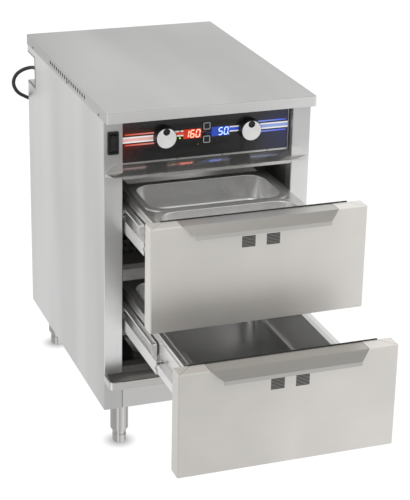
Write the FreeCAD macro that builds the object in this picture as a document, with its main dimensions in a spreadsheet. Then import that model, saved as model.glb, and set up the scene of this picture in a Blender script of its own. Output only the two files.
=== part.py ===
import FreeCAD, Part
import math
import os
import Sketcher
from FreeCAD import Vector

# Two-drawer heated holding cabinet: a stainless sheet body on four adjustable legs, a recessed
# control panel under the lid, and two insulated drawers that carry lift-out pans.
# Frame: +X to the right as seen from the front, the front faces -Y, +Z up, floor at Z = 0.
# Each sub-part is drawn with Y = 0 on the front face of the posts and with its drawer shut.
# Its Placement then moves it to the middle of the object and opens the drawer.

doc = FreeCAD.newDocument("holding_cabinet")

SIZES = [
    # cabinet body
    ("width", 475, "outside width of the cabinet body"),
    ("depth", 652, "front of the posts to the back panel"),
    ("body_height", 706, "underside of the cabinet to the top of the lid"),
    ("leg_height", 110, "floor to the underside of the cabinet"),
    ("sheet", 1.2, "sheet thickness"),
    ("fit", 0.3, "clearance between seated pieces"),
    ("post_width", 42.5, "face of each front post"),
    ("post_return", 30, "bend of the post into the opening"),
    ("sill_top", 103, "top of the sill above the underside"),
    ("sill_depth", 28, "depth of the sill, rail and header"),
    ("header_face", 16, "height of the header's face"),
    ("opening_top", "=header_top - header_face", "top of the drawer opening above the underside"),
    ("rail_height", 26, "height of the rail between the drawers"),
    ("header_drop", 12, "header below the control panel"),
    ("header_top", "=panel_bottom - header_drop", "top of the header above the underside"),
    ("apron_lip", 8, "lower lip of the apron"),
    ("upstand", 18, "height of the base's upstands"),
    ("upstand_end", 40, "upstand in front of the back panel"),
    ("back_flange", 20, "bend of the back panel"),
    # lid
    ("lid_overhang", 26, "lid in front of the posts"),
    ("lid_skirt", 24, "height of the turned-down edge"),
    ("lid_vent_count", 17, "vent slots on each side of the lid"),
    ("lid_vent_start", 135, "first vent slot behind the posts"),
    ("lid_vent_pitch", 18, "spacing of the vent slots"),
    ("lid_vent_width", 8, "width of a vent slot"),
    ("lid_vent_height", 9, "height of a vent slot"),
    ("screw_size", 3.6, "thread of a lid screw"),
    ("screw_head", 6, "head of a lid screw"),
    ("screw_rise", 5.5, "lid screws above the lid's lower edge"),
    # cord recess at the rear left
    ("recess_depth", 66, "cord recess in front of the back panel"),
    ("recess_width", 150, "cord recess in from the left side"),
    ("recess_drop", 116, "recess floor below the top of the lid"),
    ("recess_bottom", "=body_height - recess_drop", "recess floor above the underside"),
    ("recess_height", 72, "height of the cord recess"),
    # control panel
    ("panel_recess", 16, "panel behind the posts"),
    ("panel_drop", 131, "bottom of the panel below the top of the lid"),
    ("panel_bottom", "=body_height - panel_drop", "bottom of the panel above the underside"),
    ("panel_height", 105, "height of the control panel"),
    ("panel_margin", 2.5, "bare edge of the backplate beside the overlay"),
    ("overlay_lift", 4, "bare strip of backplate below the overlay"),
    ("overlay_thick", 0.6, "thickness of the printed overlay"),
    ("controls_rise", 57, "knob axes above the bottom of the panel"),
    ("controls_height", "=panel_bottom + controls_rise", "height of the knob axes above the underside"),
    ("knob_spacing", 195, "distance between the knob axes"),
    ("knob_diameter", 49, "outside of a knob"),
    ("knob_length", 18, "length of a knob along its axis"),
    ("dimple_diameter", 16, "finger dimple in a knob"),
    ("dimple_offset", 14.2, "dimple centre from the knob axis"),
    ("shaft_diameter", 6, "knob shaft"),
    ("bushing_diameter", 9.4, "threaded bushing of an encoder"),
    ("encoder_size", 22, "side of an encoder"),
    ("encoder_depth", 14, "depth of an encoder"),
    ("display_width", 41, "window of a display"),
    ("display_height", 21, "height of a display window"),
    ("display_flange", 1.5, "flange of a display behind the plate"),
    ("display_spacing", 65, "distance between the display centres"),
    ("display_drop", 1, "display centres below the knob axes"),
    ("key_size", 18, "side of a square key"),
    ("key_spacing", 30, "distance between the two keys"),
    ("key_travel", 0.8, "travel of a key"),
    ("led_diameter", 3, "status lamp"),
    ("visor_reach", 11.5, "drip visor in front of the posts"),
    ("visor_fall", 16.5, "front edge of the visor below the panel"),
    ("visor_edge", "=panel_bottom - visor_fall", "front edge of the visor above the underside"),
    ("visor_inset", 17.5, "visor's front edge in from the cabinet's side"),
    ("visor_half", "=width / 2 - visor_inset", "half length of the visor's front edge"),
    ("tip_inset", 3.5, "visor's tip in from the cabinet's side"),
    ("visor_tip", "=width / 2 - tip_inset", "half length of the visor at the posts"),
    ("visor_wing", 21, "height of the visor's wing plates"),
    # power switch
    ("switch_width", 24.8, "bezel of the rocker switch"),
    ("switch_height", 51.4, "height of the bezel"),
    ("switch_depth", 28, "switch body behind the post"),
    ("rocker_gap", 7, "rocker in from the end of the bezel"),
    ("rocker_pin", 3, "pivot pin of the rocker"),
    ("pin_reach", 9.7, "end of the pivot pin from the rocker's middle"),
    # cavity
    ("cavity_floor", 60, "liner floor above the underside"),
    ("back_space", 67, "space between the cavity and the back panel"),
    ("cavity_back", "=depth - back_space", "inside of the liner's rear wall behind the posts"),
    ("air_hole", 10, "air hole in the rear wall"),
    ("air_pitch", 19, "spacing of the air holes"),
    # drawers
    ("front_inset", 3, "drawer front in from the cabinet's side"),
    ("front_width", "=width - 2 * front_inset", "width of a drawer front"),
    ("front_drop", 8.4, "upper drawer front below the top of the header"),
    ("front_height", "=(header_top - front_drop - front_bottom - front_gap) / 2",
     "height of a drawer front"),
    ("front_thick", 35.5, "thickness of a drawer front"),
    ("front_gap", 8, "gap between the drawer fronts"),
    ("front_bottom", 94.6, "lower drawer front above the underside"),
    ("seal", 3, "gasket between a shut drawer and the posts"),
    ("seal_width", 8, "width of the gasket"),
    ("seal_rise", 1.6, "gasket above the top of the drawer front"),
    ("open_upper", 277.5, "upper drawer pulled out"),
    ("open_lower", 455, "lower drawer pulled out"),
    ("hood_reach", 18, "handle in front of the drawer front"),
    ("hood_drop", 17.5, "slope of the handle"),
    ("hood_lip", 8.5, "turned-down lip of the handle"),
    ("hood_inset", 66.5, "handle in from the end of the drawer front"),
    ("hood_half", "=front_width / 2 - hood_inset", "half length of the handle at the top"),
    ("hood_taper", 21, "taper at each end of the handle"),
    ("vent_width", 29, "width of a drawer vent"),
    ("vent_spacing", 53.5, "distance between the vent centres"),
    ("vent_drop", 47, "vent below the top of the drawer front"),
    ("vent_rows", 8, "slots in each vent"),
    ("vent_pitch", 3.1, "spacing of the slots"),
    ("vent_slot", 1.6, "height of a slot"),
    ("box_drop", 64, "box below the top of the drawer front"),
    ("box_height", 76, "height of a drawer box"),
    ("box_space", 30, "space behind a shut drawer box"),
    ("box_length", "=cavity_back - box_space", "length of a drawer box"),
    ("box_flange", 14, "flange round the top of a drawer box"),
    # pans, in the standard catering sizes
    ("pan_front", 12, "first pan behind the drawer front"),
    ("pan_back", 13, "last pan in front of the box's rear wall"),
    ("full_long", "=box_length - pan_front - pan_back", "long side of a full-size pan"),
    ("pan_slack", 2, "slack of three third-size pans in the place of a full-size one"),
    ("third_short", "=(full_long - pan_slack) / 3", "short side of a third-size pan"),
    ("pan_rim", 11, "rim of a pan"),
    ("pan_wall", 1, "wall of a pan"),
    ("rim_thick", 1.2, "rim thickness of a pan"),
    ("rim_drop", 53, "pan rim below the top of the drawer front"),
    ("third_depth", 65, "depth of a third-size pan"),
    ("full_depth", 100, "depth of the full-size pan"),
    ("pan_corner", 40, "corner radius of a pan"),
    ("pan_foot", 14, "radius at the foot of a pan"),
    ("pan_draft", 3, "taper of a pan's walls"),
    # telescopic slides
    ("slide_drop", 73.5, "slide below the top of the drawer front"),
    ("slide_height", 56, "height of a slide carriage"),
    ("slide_bar", 28.5, "height of the carriage's lower channel"),
    ("slide_gap", 3.5, "carriage inside the post"),
    ("slide_outer", "=width / 2 - post_width - slide_gap", "outer face of a carriage from the middle"),
    ("slide_width", 12, "width of a carriage"),
    ("slide_wall", 1.5, "wall of a carriage"),
    ("slide_step", 30, "lower channel in front of the upper one"),
    ("slide_lip", 4, "turned-down lip of the upper channel"),
    ("slide_chamfer", 4, "chamfer on the end of the upper channel"),
    ("slide_clear", 0.5, "clearance between the members of a slide"),
    ("slide_short", 15, "carriage shorter than the drawer box"),
    ("slide_length", "=box_length - slide_short", "length of a carriage"),
    ("box_gap", 2.8, "drawer box inside the carriage"),
    ("box_half", "=slide_outer - slide_width - box_gap", "half width of a drawer box"),
    ("carrier_gap", 2.7, "pan carrier inside the drawer box"),
    ("carrier_half", "=box_half - carrier_gap", "half width of a pan carrier"),
    ("pan_side", 11.5, "pans in from the side of their carrier"),
    ("pan_long", "=2 * (carrier_half - pan_side)", "width of the drawer's pans"),
    # drip tray
    ("tray_reach", 50, "drip tray in front of the posts"),
    ("tray_top", 90, "top of the tray above the underside"),
    ("tray_height", 19, "height of the tray"),
    ("tray_over", 1, "tray beyond the cabinet's sides"),
    ("tray_corner", 12, "corner radius of the tray"),
    ("tray_edge", 3.6, "rolled edge of the tray"),
    ("bracket_width", 30, "width of a tray bracket"),
    ("bracket_drop", 16, "height of a tray bracket"),
    # legs
    ("leg_diameter", 41.3, "leg tube"),
    ("leg_inset", 50, "leg axis from the cabinet's edges"),
    ("foot_diameter", 32, "adjustable foot"),
    ("foot_height", 32, "foot below the leg tube"),
    ("stud_diameter", 12, "threaded stud of a foot"),
    # water pan and heater
    ("water_side", 50, "water pan in from the cavity's side"),
    ("water_half", "=width / 2 - post_width - water_side", "half width of the water pan"),
    ("water_front", 70, "water pan behind the posts"),
    ("water_length", 170, "length of the water pan"),
    ("water_height", 38, "height of the water pan"),
    ("water_corner", 14, "corner radius of the water pan"),
    ("heater_diameter", 8, "tubular heater"),
    ("heater_half", 60, "half spacing of the heater's legs"),
    ("heater_front", 320, "front of the heater behind the posts"),
    ("heater_height", 14, "heater above the liner floor"),
    ("heater_flange", 3, "thickness of the heater's flange"),
    ("heater_plate", 15, "flange beyond the heater's legs"),
    # supply cord
    ("cord_diameter", 9, "supply cord"),
    ("gland_hole", 12, "hole for the cord gland"),
    ("gland_length", 38, "strain relief outside the recess wall"),
]

size = doc.addObject("Spreadsheet::Sheet", "size")
for row, (alias, amount, meaning) in enumerate(SIZES, start=1):
    size.set("A%d" % row, alias)
    size.set("B%d" % row, str(amount))
    size.set("C%d" % row, meaning)
    size.setAlias("B%d" % row, alias)
doc.recompute()
ALIASES = {alias for alias, _, _ in SIZES}

# The object stands with the middle of its bounding box on the Z axis.
SHIFT = "(open_lower + seal + front_thick + hood_reach - depth - fit - sheet) / 2"

# Heights above the floor and half widths that several pieces share.
UNDERSIDE = "leg_height"
LID_TOP = "(leg_height + body_height)"
BODY_TOP = "(leg_height + body_height - sheet - fit)"
HALF = "(width / 2)"
OPENING = "(width / 2 - post_width)"
INSIDE = "(width / 2 - sheet - fit)"
AXIS_Z = "(leg_height + controls_height)"
LOWER_TOP = "(leg_height + front_bottom + front_height)"
UPPER_TOP = "(leg_height + front_bottom + 2 * front_height + front_gap)"
RECESS_FLOOR = "(leg_height + recess_bottom)"
RECESS_FRONT = "(depth - recess_depth)"

SCREW_Z = "(" + LID_TOP + " - lid_skirt + screw_rise)"
SCREW_ROWS = ["post_return", "(depth * 0.434)", "(depth - 60)"]

nodes = {}


# ---------------------------------------------------------------- helpers

def bound(text):
    """Turn a size formula into an expression that reads the spreadsheet."""
    words, word = [], ""
    for letter in str(text) + " ":
        if letter.isalnum() or letter in "_.":
            word += letter
        else:
            words.append("size." + word if word in ALIASES else word)
            words.append(letter)
            word = ""
    return "".join(words).strip()


def value(text):
    """The present value of a size formula."""
    result = size.evalExpression(bound(text))
    return float(getattr(result, "Value", result))


def new_body(label, opening="0"):
    """A PartDesign body that is shifted to the object's middle and opened."""
    body = doc.addObject("PartDesign::Body", label)
    body.Label = label
    body.setExpression("Placement.Base.y", bound(SHIFT + " - (" + opening + ")"))
    return body


def keep(obj, label):
    """Register a finished sub-part under the name of its file."""
    obj.Label = label
    nodes[label] = obj
    return obj


def origin_plane(body, role):
    return [item for item in body.Origin.OriginFeatures if item.Role == role][0]


def new_sketch(body, plane, level="0"):
    """A sketch on XY at Z = level, on XZ at Y = level or on YZ at X = level."""
    sketch = body.newObject("Sketcher::SketchObject", body.Name + "_sketch")
    sketch.AttachmentSupport = [(origin_plane(body, plane + "_Plane"), "")]
    sketch.MapMode = "FlatFace"
    sign = "-1 * " if plane == "XZ" else ""
    sketch.setExpression("AttachmentOffset.Base.z", bound(sign + "(" + str(level) + ")"))
    return sketch


def fix_point(sketch, shape, vertex, point):
    """Tie one point of a sketch to two size formulas."""
    for kind, formula in zip(("DistanceX", "DistanceY"), point):
        index = sketch.addConstraint(
            Sketcher.Constraint(kind, -1, 1, shape, vertex, value(formula)))
        sketch.setExpression("Constraints[%d]" % index, bound(formula))


def draw_polygon(sketch, points):
    """A closed outline through points given as pairs of size formulas."""
    spots = [Vector(value(x), value(y), 0) for x, y in points]
    first = sketch.GeometryCount
    count = len(points)
    for i in range(count):
        sketch.addGeometry(Part.LineSegment(spots[i], spots[(i + 1) % count]), False)
    for i in range(count):
        follower = first + (i + 1) % count
        sketch.addConstraint(Sketcher.Constraint("Coincident", first + i, 2, follower, 1))
    for i in range(count):
        fix_point(sketch, first + i, 1, points[i])


def draw_box(sketch, left, right, low, high):
    """A rectangle between two formulas in each direction."""
    draw_polygon(sketch, [(left, low), (right, low), (right, high), (left, high)])


def draw_circle(sketch, centre, diameter):
    """A circle whose centre and diameter are size formulas."""
    spot = Vector(value(centre[0]), value(centre[1]), 0)
    shape = sketch.addGeometry(
        Part.Circle(spot, Vector(0, 0, 1), value(diameter) / 2), False)
    fix_point(sketch, shape, 3, centre)
    index = sketch.addConstraint(
        Sketcher.Constraint("Diameter", shape, value(diameter)))
    sketch.setExpression("Constraints[%d]" % index, bound(diameter))


def pad(sketch, length, reverse=False, middle=False, taper="0"):
    """Extrude a sketch into its body."""
    body = sketch.getParentGeoFeatureGroup()
    feature = body.newObject("PartDesign::Pad", body.Name + "_pad")
    feature.Profile = sketch
    feature.setExpression("Length", bound(length))
    feature.Reversed = reverse
    feature.Midplane = middle
    if taper != "0":
        feature.setExpression("TaperAngle", bound(taper))
    body.Tip = feature
    doc.recompute()
    return feature


def pocket(sketch, length, reverse=False, middle=False, taper="0"):
    """Cut a sketch out of its body; it must take some volume away."""
    body = sketch.getParentGeoFeatureGroup()
    before = body.Shape.Volume
    feature = body.newObject("PartDesign::Pocket", body.Name + "_pocket")
    feature.Profile = sketch
    feature.setExpression("Length", bound(length))
    feature.Reversed = reverse
    feature.Midplane = middle
    if taper != "0":
        feature.setExpression("TaperAngle", bound(taper))
    body.Tip = feature
    doc.recompute()
    if body.Shape.Volume > before - 0.01:
        raise RuntimeError(body.Label + ": a pocket cuts nothing")
    return feature


def revolve(sketch, axis):
    """Turn a sketch a full turn about one of its own axes."""
    body = sketch.getParentGeoFeatureGroup()
    feature = body.newObject("PartDesign::Revolution", body.Name + "_turn")
    feature.Profile = sketch
    feature.ReferenceAxis = (sketch, [axis])
    feature.Angle = 360
    body.Tip = feature
    doc.recompute()
    return feature


def fillet(feature, radius, wanted):
    """Round the edges of a feature for which wanted(edge) is true."""
    body = feature.getParentGeoFeatureGroup()
    names = ["Edge%d" % number
             for number, edge in enumerate(feature.Shape.Edges, start=1) if wanted(edge)]
    if not names:
        raise RuntimeError(body.Label + ": no edge to round")
    rounded = body.newObject("PartDesign::Fillet", body.Name + "_fillet")
    rounded.Base = (feature, names)
    rounded.setExpression("Radius", bound(radius))
    body.Tip = rounded
    doc.recompute()
    return rounded


def mirror_x(label, source):
    """The source body and its mirror image on the other side, as one sub-part."""
    twin = doc.addObject("Part::Mirroring", label + "_twin")
    twin.Source = source
    twin.Normal = Vector(1, 0, 0)
    pair = doc.addObject("Part::Compound", label)
    pair.Links = [source, twin]
    doc.recompute()
    return keep(pair, label)


def scatter(label, source, moves):
    """Copies of one solid at several places, as one sub-part."""
    group = doc.addObject("Part::Feature", label)
    copies = []
    for move in moves:
        copy = source.Shape.copy()
        copy.translate(move)
        copies.append(copy)
    group.Shape = Part.makeCompound(copies)
    return keep(group, label)


def along(axis):
    """Test for straight edges that run along one axis."""
    def test(edge):
        box = edge.BoundBox
        spans = [box.XLength, box.YLength, box.ZLength]
        return spans[axis] > 0.5 and sum(spans) - spans[axis] < 0.01
    return test


def at_level(axis, level):
    """Test for edges that lie in one plane across an axis."""
    def test(edge):
        box = edge.BoundBox
        low = (box.XMin, box.YMin, box.ZMin)[axis]
        high = (box.XMax, box.YMax, box.ZMax)[axis]
        return abs(low - level) < 0.01 and abs(high - level) < 0.01
    return test


def both(first, second):
    return lambda edge: first(edge) and second(edge)


# ---------------------------------------------------------------- cabinet

def make_lid():
    """A top pan with a turned-down edge, vented on both sides."""
    body = new_body("lid")
    outer = "(width / 2 + fit + sheet)"
    rear = "(depth + fit + sheet)"
    plan = new_sketch(body, "XY", LID_TOP + " - lid_skirt")
    draw_box(plan, "-1 * " + outer, outer, "-1 * lid_overhang", rear)
    block = pad(plan, "lid_skirt")
    block = fillet(block, "3", along(2))
    block = fillet(block, "2", at_level(2, value(LID_TOP)))
    inside = new_sketch(body, "XY", LID_TOP + " - lid_skirt")
    draw_box(inside, "-1 * (" + outer + " - sheet)", outer + " - sheet",
             "sheet - lid_overhang", rear + " - sheet")
    pocket(inside, "lid_skirt - sheet", reverse=True)
    slots = new_sketch(body, "YZ")
    for number in range(int(value("lid_vent_count"))):
        start = "(lid_vent_start + %d * lid_vent_pitch)" % number
        draw_box(slots, start, start + " + lid_vent_width",
                 LID_TOP + " - 16", LID_TOP + " - 16 + lid_vent_height")
    pocket(slots, "width + 20", middle=True)
    cut_screw_holes(body)
    keep(body, "lid")


def cut_screw_holes(body):
    """Holes for the lid screws, straight through from side to side."""
    holes = new_sketch(body, "YZ")
    for row in SCREW_ROWS:
        draw_circle(holes, (row, SCREW_Z), "screw_size + 2 * fit")
    pocket(holes, "2 * width", middle=True)


def make_side(label, side):
    """A side sheet bent round the front corner into the post and into the opening."""
    body = new_body(label)
    plan = new_sketch(body, "XY", UNDERSIDE)
    outer, post = HALF, OPENING
    outline = [(outer, "0"), (outer, "depth"), (outer + " - sheet", "depth"),
               (outer + " - sheet", "sheet"), (post + " + sheet", "sheet"),
               (post + " + sheet", "post_return"), (post, "post_return"), (post, "0")]
    draw_polygon(plan, [("%d * (%s)" % (side, x), y) for x, y in outline])
    sheet = pad(plan, "body_height - sheet - fit")
    fillet(sheet, "2", both(along(2), lambda edge: abs(edge.BoundBox.YMax) < 0.01))
    cut_screw_holes(body)
    window = new_sketch(body, "YZ")
    draw_box(window, "lid_vent_start - 6", "lid_vent_start + lid_vent_count * lid_vent_pitch",
             LID_TOP + " - 18", LID_TOP + " - 5")
    pocket(window, "2 * width", middle=True)
    if side < 0:
        notch = new_sketch(body, "YZ", "-1 * width / 2 - 5")
        draw_box(notch, RECESS_FRONT, "depth + 5", RECESS_FLOOR, RECESS_FLOOR + " + recess_height")
        pocket(notch, "20", reverse=True)
        switch = new_sketch(body, "XZ", "-5")
        centre_x = "(-1 * (width - post_width) / 2)"
        centre_z = AXIS_Z
        draw_box(switch, centre_x + " - switch_width / 2 + 1.4", centre_x + " + switch_width / 2 - 1.4",
                 centre_z + " - switch_height / 2 + 3.2", centre_z + " + switch_height / 2 - 3.2")
        pocket(switch, "10")
    keep(body, label)


def make_back():
    """The back panel, its edges bent forward inside the sides, open at the cord recess."""
    body = new_body("back_panel")
    plan = new_sketch(body, "XY", UNDERSIDE + " + sheet + fit")
    edge = INSIDE
    draw_polygon(plan, [
        ("-1 * " + edge, "depth - back_flange"), ("-1 * " + edge, "depth"), (edge, "depth"),
        (edge, "depth - back_flange"), (edge + " - sheet", "depth - back_flange"),
        (edge + " - sheet", "depth - sheet"), ("-1 * " + edge + " + sheet", "depth - sheet"),
        ("-1 * " + edge + " + sheet", "depth - back_flange")])
    pad(plan, BODY_TOP + " - " + UNDERSIDE + " - sheet - fit")
    opening = new_sketch(body, "XZ", "depth + 5")
    draw_box(opening, "-1 * width", "recess_width + fit - width / 2",
             RECESS_FLOOR + " - fit", RECESS_FLOOR + " + recess_height + fit")
    pocket(opening, "40", reverse=True)
    keep(body, "back_panel")


def make_recess():
    """A sheet pocket, open to the rear and to the left, where the cord comes out."""
    body = new_body("cord_recess")
    left, right = "-1 * " + INSIDE, "(recess_width - width / 2)"
    top = RECESS_FLOOR + " + recess_height"
    block = new_sketch(body, "XY", RECESS_FLOOR)
    draw_box(block, left, right, RECESS_FRONT, "depth")
    pad(block, "recess_height")
    hollow = new_sketch(body, "XY", RECESS_FLOOR + " + sheet")
    draw_box(hollow, left + " - 5", right + " - sheet", RECESS_FRONT + " + sheet", "depth + 5")
    pocket(hollow, "recess_height - 2 * sheet", reverse=True)
    hole = new_sketch(body, "XZ", RECESS_FRONT + " - 5")
    draw_circle(hole, (GLAND_X, GLAND_Z), "gland_hole")
    pocket(hole, "20")
    keep(body, "cord_recess")


def make_base():
    """The bottom plate, slit for the posts' returns, with an upstand along each side."""
    body = new_body("base_plate")
    plan = new_sketch(body, "XY", UNDERSIDE)
    slit_in, slit_out = OPENING + " - fit", OPENING + " + sheet + fit"
    right = [(slit_in, "apron_lip + fit"), (slit_in, "post_return + fit"),
             (slit_out, "post_return + fit"), (slit_out, "sheet + fit"),
             (INSIDE, "sheet + fit"), (INSIDE, "depth")]
    left = [("-1 * (" + x + ")", y) for x, y in reversed(right)]
    draw_polygon(plan, right + left)
    pad(plan, "sheet")
    for side in (-1, 1):
        upstand = new_sketch(body, "XY", UNDERSIDE + " + sheet")
        draw_box(upstand, "%d * (%s - sheet)" % (side, INSIDE), "%d * %s" % (side, INSIDE),
                 "post_return + apron_lip", "depth - upstand_end")
        pad(upstand, "upstand")
    keep(body, "base_plate")


def make_cross_sheet(label, outline):
    """A folded sheet across the opening, drawn by its section and as long as the opening."""
    body = new_body(label)
    section = new_sketch(body, "YZ")
    draw_polygon(section, outline)
    pad(section, "width - 2 * post_width - 2 * fit", middle=True)
    return keep(body, label)


def make_apron():
    """The front below the drawers: face, sill and the sill's turned-down back."""
    top, low = UNDERSIDE + " + sill_top", UNDERSIDE
    back_low = UNDERSIDE + " + cavity_floor - sheet"
    make_cross_sheet("front_apron", [
        ("0", low), ("0", top), ("sill_depth", top), ("sill_depth", back_low),
        ("sill_depth - sheet", back_low), ("sill_depth - sheet", top + " - sheet"),
        ("sheet", top + " - sheet"), ("sheet", low + " + sheet"), ("apron_lip", low + " + sheet"),
        ("apron_lip", low)])


def make_rail():
    """The channel between the two drawers."""
    middle = "(leg_height + front_bottom + front_height + front_gap / 2)"
    top, low = middle + " + rail_height / 2", middle + " - rail_height / 2"
    make_cross_sheet("middle_rail", [
        ("0", low), ("0", top), ("sill_depth", top), ("sill_depth", top + " - sheet"),
        ("sheet", top + " - sheet"), ("sheet", low + " + sheet"),
        ("sill_depth", low + " + sheet"), ("sill_depth", low)])


def make_header():
    """The angle over the upper drawer."""
    low, top = UNDERSIDE + " + opening_top", UNDERSIDE + " + header_top"
    make_cross_sheet("header", [
        ("0", low), ("0", top), ("sheet", top), ("sheet", low + " + sheet"),
        ("sill_depth", low + " + sheet"), ("sill_depth", low)])


def make_visor():
    """The sloping drip visor under the controls, with a wing plate on each post."""
    body = new_body("drip_visor")
    edge, back = UNDERSIDE + " + visor_edge", UNDERSIDE + " + panel_bottom - fit"
    slope = "((panel_bottom - fit - visor_edge) / (panel_recess + visor_reach))"
    at_post = edge + " + visor_reach * " + slope
    section = new_sketch(body, "YZ")
    draw_polygon(section, [
        ("panel_recess", back), ("-1 * visor_reach", edge), ("-1 * visor_reach", edge + " - 2"),
        ("-1 * fit", edge + " - 2"), ("-1 * fit", at_post + " - 1.5"),
        ("panel_recess", back + " - 1.5")])
    pad(section, "2 * visor_tip", middle=True)
    for side in (-1, 1):
        trim = new_sketch(body, "XY", edge + " - 10")
        corners = [("visor_half", "-1 * visor_reach"), ("visor_tip + 5", "-1 * visor_reach - 5"),
                   ("visor_tip + 5", "panel_recess + 5"), (OPENING + " - fit", "panel_recess + 5"),
                   (OPENING + " - fit", "-1 * fit"), ("visor_tip", "-1 * fit")]
        draw_polygon(trim, [("%d * (%s)" % (side, x), y) for x, y in corners])
        pocket(trim, "60", reverse=True)
    for side in (-1, 1):
        wing = new_sketch(body, "XZ", "-1 * fit")
        inner, low = OPENING, at_post
        draw_polygon(wing, [("%d * (%s)" % (side, x), z) for x, z in [
            (inner, edge), ("visor_tip - 4", edge), ("visor_tip", low),
            ("visor_tip - 12", low + " + visor_wing * 0.6"),
            ("visor_tip - 26", low + " + visor_wing * 0.92"), (inner, low + " + visor_wing")]])
        pad(wing, "1")
    keep(body, "drip_visor")


# ---------------------------------------------------------------- controls

def make_backplate():
    """The bare sheet that carries the controls between the posts."""
    body = new_body("control_backplate")
    edge = "(" + OPENING + " - panel_margin)"
    low = UNDERSIDE + " + panel_bottom"
    plate = new_sketch(body, "XZ", "panel_recess + sheet")
    draw_box(plate, "-1 * " + edge, edge, low, low + " + panel_height")
    pad(plate, "sheet")
    cut_panel_openings(body, "panel_recess + sheet + 2", "sheet + 4")
    keep(body, "control_backplate")


def make_overlay():
    """The dark printed overlay on the backplate."""
    body = new_body("control_overlay")
    edge = "(" + OPENING + " - 2 * panel_margin)"
    low = UNDERSIDE + " + panel_bottom + overlay_lift"
    film = new_sketch(body, "XZ", "panel_recess")
    draw_box(film, "-1 * " + edge, edge, low, low + " + panel_height - overlay_lift")
    sheet = pad(film, "overlay_thick")
    fillet(sheet, "3", along(1))
    cut_panel_openings(body, "panel_recess + 2", "overlay_thick + 4")
    keep(body, "control_overlay")


def cut_panel_openings(body, level, length):
    """Openings for the bushings, the displays, the keys and the lamps."""
    cut = new_sketch(body, "XZ", level)
    for side in (-1, 1):
        draw_circle(cut, ("%d * knob_spacing / 2" % side, AXIS_Z), "bushing_diameter + 2 * fit")
        draw_box(cut, "%d * display_spacing / 2 - display_width / 2 - fit" % side,
                 "%d * display_spacing / 2 + display_width / 2 + fit" % side,
                 DISPLAY_Z + " - display_height / 2 - fit", DISPLAY_Z + " + display_height / 2 + fit")
        draw_box(cut, "-1 * key_size / 2 - fit", "key_size / 2 + fit",
                 key_z(side) + " - key_size / 2 - fit", key_z(side) + " + key_size / 2 + fit")
    for x, z in LAMPS:
        draw_circle(cut, (x, z), "led_diameter + 2 * fit")
    pocket(cut, length, reverse=True)


DISPLAY_Z = "(leg_height + controls_height - display_drop)"
LAMPS = [("-61", AXIS_Z + " + 7"), ("-61", AXIS_Z + " - 8.5"), ("-19", AXIS_Z + " - 26")]


def key_z(side):
    return "(" + DISPLAY_Z + " + %d * key_spacing / 2)" % side


def make_display(label, side):
    """A seven-segment display module whose window is flush with the overlay."""
    body = new_body(label)
    window = new_sketch(body, "XZ", "panel_recess + 12")
    middle = "%d * display_spacing / 2" % side
    draw_box(window, middle + " - display_width / 2", middle + " + display_width / 2",
             DISPLAY_Z + " - display_height / 2", DISPLAY_Z + " + display_height / 2")
    pad(window, "12 + overlay_thick / 2")
    flange = new_sketch(body, "XZ", "panel_recess + 12")
    draw_box(flange, middle + " - display_width / 2 - display_flange",
             middle + " + display_width / 2 + display_flange",
             DISPLAY_Z + " - display_height / 2 - display_flange",
             DISPLAY_Z + " + display_height / 2 + display_flange")
    pad(flange, "12 - sheet - fit")
    keep(body, label)


def make_lamps():
    """Three round status lamps."""
    lamp = new_body("lamp")
    profile = new_sketch(lamp, "YZ")
    radius = "led_diameter / 2"
    draw_polygon(profile, [
        ("panel_recess - overlay_thick - 0.8", "0"),
        ("panel_recess - overlay_thick - 0.8", radius + " * 0.6"),
        ("panel_recess - overlay_thick", radius), ("panel_recess + 6", radius), ("panel_recess + 6", "0")])
    revolve(profile, "H_Axis")
    scatter("status_lamps", lamp, [Vector(value(x), 0, value(z)) for x, z in LAMPS])


def make_key(label, side):
    """A square key with a retaining flange behind the backplate."""
    body = new_body(label)
    cap = new_sketch(body, "XZ", "panel_recess + sheet + 1")
    draw_box(cap, "-1 * key_size / 2", "key_size / 2",
             key_z(side) + " - key_size / 2", key_z(side) + " + key_size / 2")
    block = pad(cap, "sheet + 1 + overlay_thick + key_travel + 0.6")
    fillet(block, "2.5", along(1))
    flange = new_sketch(body, "XZ", "panel_recess + sheet + 2")
    draw_box(flange, "-1 * key_size / 2 - 1", "key_size / 2 + 1",
             key_z(side) + " - key_size / 2 - 1", key_z(side) + " + key_size / 2 + 1")
    pad(flange, "2 - fit")
    keep(body, label)


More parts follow.
